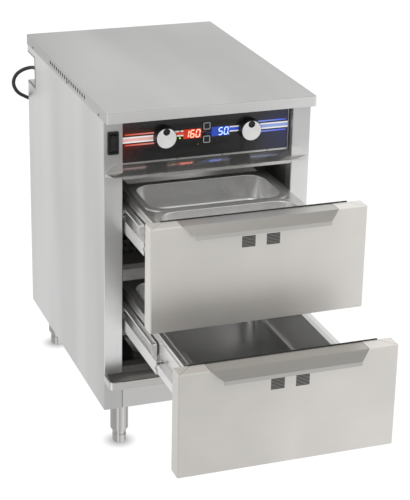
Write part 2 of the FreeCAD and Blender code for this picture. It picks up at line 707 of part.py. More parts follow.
def make_knob(label, side):
    """A knob with a finger dimple, a bright disc in its face, and its shaft."""
    body = new_body(label + "_turned")
    place = Vector(side * value("knob_spacing") / 2, 0, value(AXIS_Z))
    face = "(panel_recess - overlay_thick - 0.8 - knob_length)"
    radius, shaft = "knob_diameter / 2", "shaft_diameter / 2"
    profile = new_sketch(body, "YZ")
    draw_polygon(profile, [
        (face, "0"), (face, radius + " - 2.2"), (face + " + 1", radius + " - 1.2"),
        ("panel_recess - overlay_thick - 2.8", radius), ("panel_recess - overlay_thick - 0.8", radius),
        ("panel_recess - overlay_thick - 0.8", radius + " - 2"),
        ("panel_recess - overlay_thick - 6", radius + " - 2.5"),
        ("panel_recess - overlay_thick - 6", shaft + " + 4"),
        ("panel_recess - overlay_thick - 3.5", shaft + " + 4"),
        ("panel_recess - overlay_thick - 3.5", shaft),
        ("panel_recess + 14", shaft), ("panel_recess + 14", "0")])
    revolve(profile, "H_Axis")
    seat = new_sketch(body, "XZ", face + " - 1")
    draw_circle(seat, ("0", "0"), "knob_diameter - 5.5")
    pocket(seat, "1.8")
    dimple = new_sketch(body, "XZ", face + " - 1")
    draw_circle(dimple, ("0", "dimple_offset"), "dimple_diameter - 1")
    pocket(dimple, "4.5")
    disc = new_body(label + "_disc")
    plate = new_sketch(disc, "XZ", face + " + 0.8")
    draw_circle(plate, ("0", "0"), "knob_diameter - 5.6")
    pad(plate, "1.2")
    hole = new_sketch(disc, "XZ", face + " - 2")
    draw_circle(hole, ("0", "dimple_offset"), "dimple_diameter")
    pocket(hole, "5")
    pair = Part.makeCompound([body.Shape.copy(), disc.Shape.copy()])
    pair.translate(place)
    knob = doc.addObject("Part::Feature", label)
    knob.Shape = pair
    keep(knob, label)


def make_encoders():
    """The rotary encoders behind the panel, each with the bushing that carries its knob."""
    encoder = new_body("encoder")
    front = "(panel_recess - overlay_thick - 2)"
    shell = new_sketch(encoder, "XZ", "panel_recess + sheet + encoder_depth")
    edge = "encoder_size / 2"
    draw_box(shell, "-1 * " + edge, edge, "-1 * " + edge, edge)
    pad(shell, "encoder_depth - fit")
    bushing = new_sketch(encoder, "XZ", "panel_recess + sheet + 3")
    draw_circle(bushing, ("0", "0"), "bushing_diameter")
    pad(bushing, "sheet + 3 + overlay_thick + 2")
    bore = new_sketch(encoder, "XZ", front + " - 1")
    draw_circle(bore, ("0", "0"), "shaft_diameter + 0.1")
    pocket(bore, "40")
    z = value(AXIS_Z)
    half = value("knob_spacing") / 2
    scatter("encoders", encoder, [Vector(-half, 0, z), Vector(half, 0, z)])


SWITCH_X = "(-1 * (width - post_width) / 2)"


def make_switch():
    """The switch body: a bezel on the post and a housing behind it, hollow for the rocker."""
    body = new_body("switch_body")
    flange = new_sketch(body, "XZ", "-1 * fit")
    draw_box(flange, SWITCH_X + " - switch_width / 2", SWITCH_X + " + switch_width / 2",
             AXIS_Z + " - switch_height / 2", AXIS_Z + " + switch_height / 2")
    bezel = pad(flange, "3.2")
    bezel = fillet(bezel, "3", along(1))
    fillet(bezel, "1", at_level(1, value("-1 * fit - 3.2")))
    housing = new_sketch(body, "XZ", "switch_depth")
    draw_box(housing, SWITCH_X + " - switch_width / 2 + 2", SWITCH_X + " + switch_width / 2 - 2",
             AXIS_Z + " - switch_height / 2 + 4", AXIS_Z + " + switch_height / 2 - 4")
    pad(housing, "switch_depth + fit + 0.5")
    hollow = new_sketch(body, "XZ", "-6")
    draw_box(hollow, SWITCH_X + " - switch_width / 2 + 4.2", SWITCH_X + " + switch_width / 2 - 4.2",
             AXIS_Z + " - switch_height / 2 + 5.2", AXIS_Z + " + switch_height / 2 - 5.2")
    pocket(hollow, "22")
    bearing = new_sketch(body, "YZ", SWITCH_X)
    draw_circle(bearing, ("0", AXIS_Z), "rocker_pin + fit")
    pocket(bearing, "2 * (pin_reach + fit)", middle=True)
    keep(body, "switch_body")


def make_rocker():
    """The rocker on its pivot pin, pressed in at its lower end."""
    body = new_body("rocker")
    reach = "(switch_height / 2 - rocker_gap)"
    section = new_sketch(body, "YZ", SWITCH_X)
    draw_polygon(section, [
        ("-4.6", AXIS_Z), ("-6.6", AXIS_Z + " + " + reach + " * 0.55"),
        ("-7.4", AXIS_Z + " + " + reach), ("-5.2", AXIS_Z + " + " + reach),
        ("2", AXIS_Z + " + " + reach + " * 0.75"), ("5", AXIS_Z),
        ("6.6", AXIS_Z + " - " + reach + " * 0.75"), ("0.6", AXIS_Z + " - " + reach),
        ("-1.6", AXIS_Z + " - " + reach), ("-3.6", AXIS_Z + " - " + reach + " * 0.55")])
    pad(section, "switch_width - 9.4", middle=True)
    pin = new_sketch(body, "YZ", SWITCH_X)
    draw_circle(pin, ("0", AXIS_Z), "rocker_pin")
    pad(pin, "2 * pin_reach", middle=True)
    keep(body, "rocker")


# ---------------------------------------------------------------- cavity

def make_liner():
    """The drawer cavity: a sheet box open to the front, with air holes in its rear wall."""
    body = new_body("cavity_liner")
    inner, front = OPENING, "(post_return + fit)"
    low, high = UNDERSIDE + " + cavity_floor", UNDERSIDE + " + opening_top"
    block = new_sketch(body, "XZ", "cavity_back + sheet")
    draw_box(block, "-1 * (" + inner + " + sheet)", inner + " + sheet", low + " - sheet", high + " + sheet")
    pad(block, "cavity_back + sheet - " + front)
    hollow = new_sketch(body, "XZ", front)
    draw_box(hollow, "-1 * " + inner, inner, low, high)
    pocket(hollow, "cavity_back - " + front)
    holes = new_sketch(body, "XZ", "cavity_back - 5")
    for row in range(3):
        for column in range(6):
            draw_circle(holes, ("(%d - 2.5) * air_pitch" % column,
                                low + " + 70 + %d * air_pitch" % row), "air_hole")
    pocket(holes, "10")
    keep(body, "cavity_liner")


def make_water_pan():
    """The shallow water pan on the cavity floor that moistens the air."""
    body = new_body("water_pan")
    low = UNDERSIDE + " + cavity_floor + fit"
    back = "water_front + water_length"
    plan = new_sketch(body, "XY", low)
    draw_rounded(plan, "-1 * water_half", "water_half", "water_front", back, "water_corner")
    pad(plan, "water_height")
    hollow = new_sketch(body, "XY", low + " + water_height")
    draw_rounded(hollow, "pan_wall - water_half", "water_half - pan_wall",
                 "water_front + pan_wall", back + " - pan_wall", "(water_corner - pan_wall)")
    well = pocket(hollow, "water_height - pan_wall")
    well = fillet(well, "water_corner / 2 - pan_wall", at_level(2, value(low + " + pan_wall")))
    fillet(well, "water_corner / 2", at_level(2, value(low)))
    keep(body, "water_pan")


def make_heater():
    """A U-shaped tubular heater that stands on its flange at the rear wall."""
    body = new_body("heater")
    level = "(leg_height + cavity_floor + heater_height)"
    path = new_sketch(body, "XY", level)
    wall, turn = "cavity_back - fit - heater_flange", "(heater_front + heater_half)"
    left = (Vector(-value("heater_half"), value(wall), 0), Vector(-value("heater_half"), value(turn), 0))
    right = (Vector(value("heater_half"), value(turn), 0), Vector(value("heater_half"), value(wall), 0))
    path.addGeometry(Part.LineSegment(*left), False)
    path.addGeometry(Part.LineSegment(*right), False)
    bend = Part.Arc(left[1], Vector(0, value("heater_front"), 0), right[0])
    path.addGeometry(bend, False)
    path.addConstraint(Sketcher.Constraint("Tangent", 0, 2, 2, 1))
    path.addConstraint(Sketcher.Constraint("Tangent", 1, 1, 2, 2))
    fix_point(path, 0, 1, ("-1 * heater_half", wall))
    fix_point(path, 1, 2, ("heater_half", wall))
    fix_point(path, 2, 3, ("0", turn))
    index = path.addConstraint(Sketcher.Constraint("Radius", 2, value("heater_half")))
    path.setExpression("Constraints[%d]" % index, bound("heater_half"))
    section = new_sketch(body, "XZ", wall)
    draw_circle(section, ("-1 * heater_half", level), "heater_diameter")
    doc.recompute()
    pipe = body.newObject("PartDesign::AdditivePipe", "heater_tube")
    pipe.Profile = section
    pipe.Spine = (path, ["Edge1", "Edge2", "Edge3"])
    body.Tip = pipe
    doc.recompute()
    flange = new_sketch(body, "XZ", "cavity_back - fit")
    draw_box(flange, "-1 * heater_half - heater_plate", "heater_half + heater_plate",
             level + " - heater_height + 3 * fit", level + " + heater_plate")
    pad(flange, "heater_flange")
    keep(body, "heater")


# ---------------------------------------------------------------- drawers

def make_front(label, top, opening):
    """A drawer front: a sheet pan, open to the rear, with two louvred vents near its top."""
    body = new_body(label, opening)
    half, low = "front_width / 2", top + " - front_height"
    face, back = "-1 * (seal + front_thick)", "-1 * seal"
    block = new_sketch(body, "XZ", back)
    draw_box(block, "-1 * " + half, half, low, top)
    panel = pad(block, "front_thick")
    front_level = value(face)
    panel = fillet(panel, "3", both(along(2), at_level(1, front_level)))
    fillet(panel, "1.5", both(along(0), at_level(1, front_level)))
    hollow = new_sketch(body, "XZ", face + " + sheet")
    draw_box(hollow, "sheet - " + half, half + " - sheet", low + " + sheet", top + " - sheet")
    pocket(hollow, "front_thick")
    strip = new_sketch(body, "XY", top + " - sheet")
    draw_box(strip, "-1 * (hood_half + fit)", "hood_half + fit", face + " - 1", back + " + 1")
    pocket(strip, "5", reverse=True)
    slots = new_sketch(body, "XZ", face + " - 1")
    for side in (-1, 1):
        centre = "%d * vent_spacing / 2" % side
        for row in range(int(value("vent_rows"))):
            slot = "(%s - vent_drop + (%d - vent_rows / 2) * vent_pitch)" % (top, row)
            draw_box(slots, centre + " - vent_width / 2", centre + " + vent_width / 2",
                     slot, slot + " + vent_slot")
    pocket(slots, "sheet + 2")
    keep(body, label)


def make_front_liner(label, top, opening):
    """The plate that closes the back of a drawer front."""
    body = new_body(label, opening)
    half = "(front_width / 2 - sheet - fit)"
    plate = new_sketch(body, "XZ", "-1 * seal")
    draw_box(plate, "-1 * " + half, half,
             top + " - front_height + sheet + fit", top + " - sheet - fit")
    pad(plate, "sheet")
    keep(body, label)


def make_gasket(label, top, opening):
    """The gasket on the back of a drawer front; it meets the posts when the drawer is shut."""
    body = new_body(label, opening)
    ring = new_sketch(body, "XZ", "-1 * fit")
    outer = "(" + OPENING + " + seal_width)"
    low, high = top + " - front_height + seal", top + " + seal_rise"
    draw_box(ring, "-1 * " + outer, outer, low, high)
    draw_box(ring, "-1 * " + OPENING, OPENING, low + " + seal_width", high + " - seal_width")
    pad(ring, "seal - fit")
    keep(body, label)


def make_handle(label, top, opening):
    """The full-width pull: a sheet that runs over the front's top edge and slopes forward."""
    body = new_body(label, opening)
    root, back = "-1 * (seal + front_thick)", "-1 * seal"
    lip = "(" + root + " - hood_reach)"
    inner = "sheet * 0.42"
    section = new_sketch(body, "YZ")
    draw_polygon(section, [
        (back, top), (root, top), (lip, top + " - hood_drop"), (lip, top + " - hood_drop - hood_lip"),
        (lip + " + sheet", top + " - hood_drop - hood_lip"),
        (lip + " + sheet", top + " - hood_drop + " + inner),
        (root, top + " - sheet - " + inner), (root, top + " - sheet"), (back, top + " - sheet")])
    pad(section, "2 * hood_half", middle=True)
    for side in (-1, 1):
        taper = new_sketch(body, "XZ", root + " - hood_reach - 1")
        corners = [("hood_half", top + " - sheet - 0.1"), ("hood_half - hood_taper", top + " - hood_drop"),
                   ("hood_half - hood_taper", top + " - hood_drop - hood_lip - 1"),
                   ("hood_half + 1", top + " - hood_drop - hood_lip - 1"),
                   ("hood_half + 1", top + " - sheet - 0.1")]
        draw_polygon(taper, [("%d * (%s)" % (side, x), z) for x, z in corners])
        pocket(taper, "hood_reach + 1.5")
    keep(body, label)


def make_box(label, top, opening):
    """A drawer box: four sheet walls with a flange turned in round the top."""
    body = new_body(label, opening)
    high = top + " - box_drop"
    walls = new_sketch(body, "XY", high + " - box_height")
    draw_box(walls, "-1 * box_half", "box_half", "-1 * seal", "box_length")
    draw_box(walls, "sheet - box_half", "box_half - sheet", "sheet - seal", "box_length - sheet")
    pad(walls, "box_height")
    flange = new_sketch(body, "XY", high + " - sheet")
    draw_box(flange, "-1 * box_half", "box_half", "-1 * seal", "box_length")
    draw_box(flange, "box_flange - box_half", "box_half - box_flange",
             "box_flange - seal", "box_length - box_flange")
    pad(flange, "sheet")
    keep(body, label)


def make_carrier(label, top, opening, pan_size, count):
    """The frame fixed on a drawer box, with a raised deck that holds the pans' rims."""
    body = new_body(label, opening)
    low, high = top + " - box_drop + fit", top + " - rim_drop - rim_thick - fit"
    back = "(box_length - 2)"
    block = new_sketch(body, "XY", low)
    draw_box(block, "-1 * carrier_half", "carrier_half", "2", back)
    frame = pad(block, "(%s) - (%s)" % (high, low))
    fillet(frame, "2.5", along(2))
    under = new_sketch(body, "XY", low)
    draw_box(under, "sheet - carrier_half", "carrier_half - sheet", "2 + sheet", back + " - sheet")
    pocket(under, "(%s) - (%s) - sheet" % (high, low), reverse=True)
    deck = new_sketch(body, "XY", high)
    half = "(pan_long / 2 - pan_rim + 2)"
    for number in range(count):
        start = "(pan_front + %d * %s)" % (number, pan_size)
        draw_box(deck, "-1 * " + half, half, start + " + pan_rim - 2",
                 start + " + " + pan_size + " - pan_rim + 2")
    pocket(deck, "sheet + 1")
    keep(body, label)


def loft(kind, body, lower, upper):
    """An additive or subtractive loft between two sketches of a body."""
    feature = body.newObject("PartDesign::" + kind, body.Name + "_loft")
    feature.Profile = lower
    feature.Sections = [upper]
    feature.Ruled = True
    body.Tip = feature
    doc.recompute()
    return feature


def make_pan(label, top, opening, slot, pan_size, pan_depth):
    """A pressed pan with tapered walls, rounded corners and foot, and a flat rim."""
    body = new_body(label, opening)
    start = "(pan_front + %d * %s + 0.25)" % (slot, pan_size)
    end = "(%s + %s - 0.5)" % (start, pan_size)
    half, rim = "(pan_long / 2)", top + " - rim_drop"
    draft = "(%s * tan(pan_draft * 1 deg))" % pan_depth

    def outline(level, inset, corner):
        sketch = new_sketch(body, "XY", level)
        draw_rounded(sketch, inset + " - " + half, half + " - " + inset,
                     start + " + " + inset, end + " - " + inset, corner)
        return sketch

    mouth, floor = rim + " - rim_thick", rim + " - " + pan_depth
    inner_floor = floor + " + pan_wall"
    loft("AdditiveLoft", body,
         outline(mouth, "pan_rim", "pan_corner"),
         outline(floor, "(pan_rim + " + draft + ")", "(pan_corner - 0.7 * " + draft + ")"))
    pad(outline(mouth, "0", "(pan_corner - pan_rim / 2)"), "rim_thick")
    well = loft("SubtractiveLoft", body,
                outline(rim, "(pan_rim + pan_wall)", "(pan_corner - pan_wall)"),
                outline(inner_floor, "(pan_rim + pan_wall + " + draft + ")",
                        "(pan_corner - pan_wall - 0.7 * " + draft + ")"))
    well = fillet(well, "pan_foot - pan_wall", at_level(2, value(inner_floor)))
    well = fillet(well, "pan_foot", at_level(2, value(floor)))
    reach, first, last = value(half) - 5, value(start) + 5, value(end) - 5

    def round_mouth(edge):
        box = edge.BoundBox
        return max(-box.XMin, box.XMax) < reach and first < box.YMin and box.YMax < last

    fillet(well, "1.2", both(at_level(2, value(rim)), round_mouth))
    keep(body, label)


def draw_rounded(sketch, left, right, low, high, radius):
    """A rectangle with rounded corners, drawn from eight points and four arcs."""
    corners = [(left, low, 1, 1, 2), (right, low, -1, 1, 3),
               (right, high, -1, -1, 0), (left, high, 1, -1, 1)]
    quarter = math.pi / 2
    first = sketch.GeometryCount
    for x, y, along_x, along_y, turns in corners:
        centre = ("%s + %d * (%s)" % (x, along_x, radius), "%s + %d * (%s)" % (y, along_y, radius))
        circle = Part.Circle(Vector(value(centre[0]), value(centre[1]), 0),
                             Vector(0, 0, 1), value(radius))
        arc = Part.ArcOfCircle(circle, turns * quarter, (turns + 1) * quarter)
        sketch.addGeometry(arc, False)
    for number in range(4):
        a = sketch.Geometry[first + number].EndPoint
        b = sketch.Geometry[first + (number + 1) % 4].StartPoint
        sketch.addGeometry(Part.LineSegment(a, b), False)
    for number in range(4):
        follower = first + (number + 1) % 4
        line = first + 4 + number
        sketch.addConstraint(Sketcher.Constraint("Tangent", first + number, 2, line, 1))
        sketch.addConstraint(Sketcher.Constraint("Tangent", line, 2, follower, 1))
    for number, (x, y, along_x, along_y, _) in enumerate(corners):
        fix_point(sketch, first + number, 3,
                  ("%s + %d * (%s)" % (x, along_x, radius), "%s + %d * (%s)" % (y, along_y, radius)))
        index = sketch.addConstraint(
            Sketcher.Constraint("Radius", first + number, value(radius)))
        sketch.setExpression("Constraints[%d]" % index, bound(radius))


# ---------------------------------------------------------------- slides

def slide_levels(top):
    """Heights of a slide: top, middle flange and bottom of the carriage."""
    high = "(" + top + " - slide_drop)"
    low = "(" + high + " - slide_height)"
    return high, "(" + low + " + slide_bar)", low


def make_rails(label, top):
    """The hat-shaped rails screwed to the cavity's sides."""
    body = new_body(label + "_right")
    high, middle, _ = slide_levels(top)
    plate, nose = "(" + OPENING + " - fit)", "(slide_outer - slide_width + slide_wall + slide_clear)"
    upper, lower = "(" + high + " - slide_lip - slide_clear)", "(" + middle + " + 4 * slide_clear)"
    section = new_sketch(body, "XZ", "slide_step + 2 * slide_wall")
    draw_polygon(section, [
        (plate + " - slide_wall", upper + " + 6"), (plate, upper + " + 6"),
        (plate, upper + " - slide_wall"), (nose + " + slide_wall", upper + " - slide_wall"),
        (nose + " + slide_wall", lower + " + slide_wall"), (plate, lower + " + slide_wall"),
        (plate, lower + " - 6"), (plate + " - slide_wall", lower + " - 6"),
        (plate + " - slide_wall", lower), (nose, lower), (nose, upper),
        (plate + " - slide_wall", upper)])
    pad(section, "box_length - slide_step", reverse=True)
    mirror_x(label, body)


def make_carriages(label, top, opening):
    """The sliding middle members: an outward channel over an inward one, with a stop plate."""
    body = new_body(label + "_right", "(" + opening + ") / 2")
    high, middle, low = slide_levels(top)
    outer, inner = "slide_outer", "(slide_outer - slide_width)"
    wall = "slide_wall"
    section = new_sketch(body, "XZ")
    draw_polygon(section, [
        (inner, high), (outer, high), (outer, high + " - slide_lip"),
        (outer + " - " + wall, high + " - slide_lip"), (outer + " - " + wall, high + " - " + wall),
        (inner + " + " + wall, high + " - " + wall), (inner + " + " + wall, middle), (outer, middle),
        (outer, low), (inner, low), (inner, low + " + " + wall), (outer + " - " + wall, low + " + " + wall),
        (outer + " - " + wall, middle + " - " + wall), (inner, middle + " - " + wall)])
    pad(section, "slide_length", reverse=True)
    bevel = new_sketch(body, "YZ", "slide_outer / 2")
    draw_polygon(bevel, [("-1", middle), ("slide_step", middle), ("slide_step", high + " - slide_chamfer"),
                         ("slide_step + slide_chamfer + 1", high + " + 1"), ("-1", high + " + 1")])
    pocket(bevel, "slide_outer", reverse=True)
    stop = new_sketch(body, "XZ", "slide_step")
    draw_box(stop, inner, outer, middle, high + " - slide_chamfer")
    pad(stop, "slide_wall", reverse=True)
    notch = new_sketch(body, "YZ", "slide_outer - 2 * slide_wall")
    draw_box(notch, "-1", "6", low + " + slide_bar * 0.36", low + " + slide_bar * 0.64")
    pocket(notch, "10", reverse=True)
    mirror_x(label, body)


def make_drawer_slides(label, top, opening):
    """The hat-shaped members on the drawer box that run in the carriages."""
    body = new_body(label + "_right", opening)
    _, middle, low = slide_levels(top)
    plate, nose = "(box_half + fit)", "(slide_outer - slide_wall - 0.5)"
    upper, lower = "(" + middle + " - 2 * slide_wall - 1)", "(" + low + " + 2 * slide_wall + 1)"
    section = new_sketch(body, "XZ", "slide_wall")
    draw_polygon(section, [
        (plate, upper + " + 8"), (plate + " + slide_wall", upper + " + 8"),
        (plate + " + slide_wall", upper), (nose, upper), (nose, lower),
        (plate + " + slide_wall", lower), (plate + " + slide_wall", lower + " - 8"),
        (plate, lower + " - 8"), (plate, lower + " + slide_wall"),
        (nose + " - slide_wall", lower + " + slide_wall"),
        (nose + " - slide_wall", upper + " - slide_wall"), (plate, upper + " - slide_wall")])
    pad(section, "box_length - 2 * slide_wall", reverse=True)
    mirror_x(label, body)


# ---------------------------------------------------------------- drip tray and legs

def make_tray():
    """The drip tray along the bottom of the front, with rounded front corners."""
    body = new_body("drip_tray")
    half, front, back = "(width / 2 + tray_over)", "-1 * tray_reach", "-2 * fit"
    top = UNDERSIDE + " + tray_top"
    plan = new_sketch(body, "XY", top + " - tray_height")
    draw_box(plan, "-1 * " + half, half, front, back)
    block = pad(plan, "tray_height")
    block = fillet(block, "tray_corner", both(along(2), at_level(1, value(front))))
    fillet(block, "2.5", at_level(2, value(top + " - tray_height")))
    hollow = new_sketch(body, "XY", top + " - tray_height + sheet")
    draw_rounded(hollow, "tray_edge - " + half, half + " - tray_edge", front + " + tray_edge",
                 back + " - sheet", "(tray_corner - tray_edge)")
    pocket(hollow, "tray_height", reverse=True)
    keep(body, "drip_tray")


def make_tray_brackets():
    """Two angle brackets on the apron that the tray rests on."""
    body = new_body("tray_brackets_right")
    shelf = "(leg_height + tray_top - tray_height - fit)"
    section = new_sketch(body, "YZ", "width / 4")
    draw_polygon(section, [
        ("0.92 * -tray_reach", shelf), ("0", shelf), ("0", shelf + " - bracket_drop"),
        ("-1 * sheet", shelf + " - bracket_drop"), ("-1 * sheet", shelf + " - sheet"),
        ("0.92 * -tray_reach", shelf + " - sheet")])
    pad(section, "bracket_width", middle=True)
    mirror_x("tray_brackets", body)


LEG_X = "(width / 2 - leg_inset)"
LEG_BACK = "(depth - leg_inset)"
LEG_SPOTS = [("front_left", "-1 * " + LEG_X, "leg_inset"), ("front_right", LEG_X, "leg_inset"),
             ("rear_left", "-1 * " + LEG_X, LEG_BACK), ("rear_right", LEG_X, LEG_BACK)]


def make_legs():
    """Four tubes under the base, each with a bored plug in its lower end."""
    leg = new_body("leg")
    profile = new_sketch(leg, "XZ")
    radius, bore = "leg_diameter / 2", "stud_diameter / 2 + 0.1"
    draw_polygon(profile, [
        ("0", UNDERSIDE), (radius, UNDERSIDE), (radius, "foot_height + 4"),
        (radius + " - 2.5", "foot_height"), (bore, "foot_height"), (bore, "foot_height + 16"),
        (radius + " - 1.6", "foot_height + 16"), (radius + " - 1.6", UNDERSIDE + " - 2"),
        ("0", UNDERSIDE + " - 2")])
    revolve(profile, "V_Axis")
    scatter("legs", leg, [Vector(value(x), value(y), 0) for _, x, y in LEG_SPOTS])


def make_foot(label, x, y):
    """A screw-in foot: a round pad and its stud."""
    body = new_body(label + "_turned")
    profile = new_sketch(body, "XZ")
    radius, stud = "foot_diameter / 2", "stud_diameter / 2"
    draw_polygon(profile, [
        ("0", "0"), (radius + " - 4", "0"), (radius + " - 1.2", "1.4"), (radius, "5"),
        (radius, "foot_height - 12"), (radius + " - 1.5", "foot_height - 10.5"),
        (radius + " - 1.5", "foot_height - 8"), (radius, "foot_height - 6.5"),
        (radius, "foot_height - fit - 1"), (radius + " - 1", "foot_height - fit"),
        (stud, "foot_height - fit"), (stud, "foot_height + 36"), (stud + " - 1.5", "foot_height + 38"),
        ("0", "foot_height + 38")])
    revolve(profile, "V_Axis")
    scatter(label, body, [Vector(value(x), value(y), 0)])


def make_lid_screws():
    """Three screws on each side that hold the lid's turned-down edge."""
    screw = new_body("lid_screw")
    profile = new_sketch(screw, "XZ")
    head, shank = "screw_head / 2", "screw_size / 2"
    draw_polygon(profile, [
        ("-2 * sheet - fit", "0"), ("-2 * sheet - fit", shank), ("0", shank), ("0", head),
        (head + " / 3", head + " * 0.9"), (head + " * 0.6", head + " * 0.45"),
        (head + " * 0.68", "0")])
    revolve(profile, "H_Axis")
    outer = value("width / 2 + fit + sheet")
    group = doc.addObject("Part::Feature", "lid_screws")
    copies = []
    for row in SCREW_ROWS:
        for side in (-1, 1):
            copy = screw.Shape.copy()
            if side < 0:
                copy = copy.mirror(Vector(0, 0, 0), Vector(1, 0, 0))
            copy.translate(Vector(side * outer, value(row), value(SCREW_Z)))
            copies.append(copy)
    group.Shape = Part.makeCompound(copies)
    keep(group, "lid_screws")


# ---------------------------------------------------------------- supply cord

GLAND_X = "(15.5 - width / 2)"
GLAND_Z = "(leg_height + recess_bottom + 33)"

# The cord's route from the strain relief to its coil on the floor, and from the coil to the
# plug, as chosen points (X, Y, Z).
CORD_ROUTE = [
    (-222, 625.2, 733), (-222.6, 645, 731.8), (-225, 665.5, 727.6), (-242, 680.3, 720.3),
    (-262, 681.7, 707.6), (-272, 673.8, 687.5), (-262, 669.2, 664.9), (-240, 677, 650.5),
    (-212, 688, 634), (-200, 690, 596), (-192, 688, 541), (-170, 696, 466),
    (-138, 708, 376), (-100, 716, 270), (-60, 712, 170), (-8, 702, 86), (56, 697, 36),
    (112, 696.6, 13.5)]
TAIL_ROUTE = [(101.0, 800.2, 4.8), (84.0, 800.5, 5.5), (56.0, 801.5, 9.5), (28.0, 801.0, 11.0)]
COIL_CENTRE = (116.0, 746.0)


def make_gland():
    """The cord gland: a nut inside, a flange outside and a ribbed, tapered strain relief."""
    body = new_body("gland_turned")
    profile = new_sketch(body, "YZ")
    wall, cord = RECESS_FRONT, "cord_diameter / 2"
    outside = "(" + wall + " + sheet)"
    tip = "(" + outside + " + gland_length)"
    points = [(wall + " - 8", "0"), (wall + " - 8", "9.2"), (wall, "9.2"), (wall, "gland_hole / 2 - 0.1"),
              (outside, "gland_hole / 2 - 0.1"), (outside, "9.6"), (outside + " + 5", "9.6"),
              (outside + " + 5", "7.6")]
    for rib in range(6):
        start = outside + " + 8 + %d * (gland_length - 10) / 6" % rib
        radius = "7.6 - %d * (7.6 - %s - 0.8) / 6" % (rib, cord)
        points.append((start, radius))
        points.append((start + " + 0.4", radius + " - 0.9"))
        points.append((start + " + 2", radius + " - 0.9"))
        points.append((start + " + 2.4", radius))
    points.append((tip, cord + " + 0.6"))
    points.append((tip, "0"))
    draw_polygon(profile, points)
    revolve(profile, "H_Axis")
    scatter("cord_gland", body, [Vector(value(GLAND_X), 0, value(GLAND_Z))])


def smooth_path(points):
    """Straight runs joined by tangent arcs, each as large as its two runs allow."""
    spots = [Vector(*point) for point in points]
    edges, last = [], spots[0]
    for before, corner, after in zip(spots, spots[1:], spots[2:]):
        arriving, leaving = corner - before, after - corner
        turn = arriving.getAngle(leaving)
        reach = 0.45 * min(arriving.Length, leaving.Length)
        radius = reach / math.tan(turn / 2)
        print("cord bend radius %.1f" % radius)
        arriving.normalize()
        leaving.normalize()
        start, end = corner - arriving * reach, corner + leaving * reach
        inward = (leaving - arriving).normalize()
        middle = corner + inward * (radius / math.cos(turn / 2) - radius)
        edges.append(Part.LineSegment(last, start).toShape())
        edges.append(Part.Arc(start, middle, end).toShape())
        last = end
    edges.append(Part.LineSegment(last, spots[-1]).toShape())
    return Part.Wire(edges)


def make_cord(label, points):
    """A plain tube along a route; its volume is checked against section times length."""
    path = smooth_path(points)
    radius = value("cord_diameter") / 2
    direction = Vector(*points[1]) - Vector(*points[0])
    circle = Part.Wire([Part.makeCircle(radius, Vector(*points[0]), direction)])
    tube = path.makePipeShell([circle], True, False)
    expected = math.pi * radius ** 2 * path.Length
    if abs(tube.Volume / expected - 1) > 0.01:
        raise RuntimeError(label + ": the tube's volume is off")
    print("%s length %.0f" % (label, path.Length))
    cord = doc.addObject("Part::Feature", label)
    cord.Shape = tube
    cord.setExpression("Placement.Base.y", bound(SHIFT))
    keep(cord, label)


def make_coil():
    """The outer shape of the coiled length: two turns side by side and one on top."""
    body = new_body("coil_turned")
    profile = new_sketch(body, "XZ")
    middle, half = 49.5, value("cord_diameter") / 2
    draw_polygon(profile, [(str(middle + x * half), str(z * half)) for x, z in [
        (-1.7, 0), (1.7, 0), (2, 0.55), (2, 1.45), (1.05, 2.7), (0.65, 3.55), (0, 3.73),
        (-0.65, 3.55), (-1.05, 2.7), (-2, 1.45), (-2, 0.55)]])
    revolve(profile, "V_Axis")
    scatter("cord_coil", body, [Vector(COIL_CENTRE[0], COIL_CENTRE[1], 0)])


def make_plug():
    """A moulded plug: a grip that narrows into a ribbed strain relief."""
    body = new_body("plug_moulded")
    grip = new_sketch(body, "YZ", "-52")
    draw_rounded(grip, "-15", "15", "-11", "11", "5")
    pad(grip, "18")
    small, large = new_sketch(body, "YZ", "-16"), new_sketch(body, "YZ", "-34")
    draw_rounded(small, "-7", "7", "-7", "7", "3")
    draw_rounded(large, "-15", "15", "-11", "11", "5")
    loft("AdditiveLoft", body, large, small)
    relief = new_sketch(body, "XZ")
    cord = "cord_diameter / 2"
    points = [("0", "0"), ("0", cord + " + 0.8")]
    for rib in range(4):
        radius = "%s + 1.1 + %d * 0.4" % (cord, rib)
        start = "-1.5 - %d * 3.6" % rib
        points.append((start, radius))
        points.append((start + " - 0.4", radius + " - 0.8"))
        points.append((start + " - 1.8", radius + " - 0.8"))
        points.append((start + " - 2.2", radius))
    points.append(("-20", cord + " + 2.3"))
    points.append(("-20", "0"))
    draw_polygon(relief, points)
    revolve(relief, "H_Axis")
    scatter("plug", body, [Vector(*TAIL_ROUTE[-1])])


def make_blades():
    """Two flat blades and a round earth pin."""
    x, y, z = TAIL_ROUTE[-1]
    body = new_body("blade")
    blade = new_sketch(body, "YZ", "-52")
    draw_box(blade, "-8.2", "-1.9", "-7.1", "-5.6")
    pad(blade, "17", reverse=True)
    pin_body = new_body("earth_pin")
    pin = new_sketch(pin_body, "YZ", "-52")
    draw_circle(pin, ("6.9", "0"), "4.8")
    pad(pin, "20", reverse=True)
    group = doc.addObject("Part::Feature", "plug_blades")
    second = body.Shape.copy()
    second.translate(Vector(0, 0, 12.7))
    solids = Part.makeCompound([body.Shape.copy(), second, pin_body.Shape.copy()])
    solids.translate(Vector(x, y, z))
    group.Shape = solids
    keep(group, "plug_blades")


# ---------------------------------------------------------------- the whole cabinet

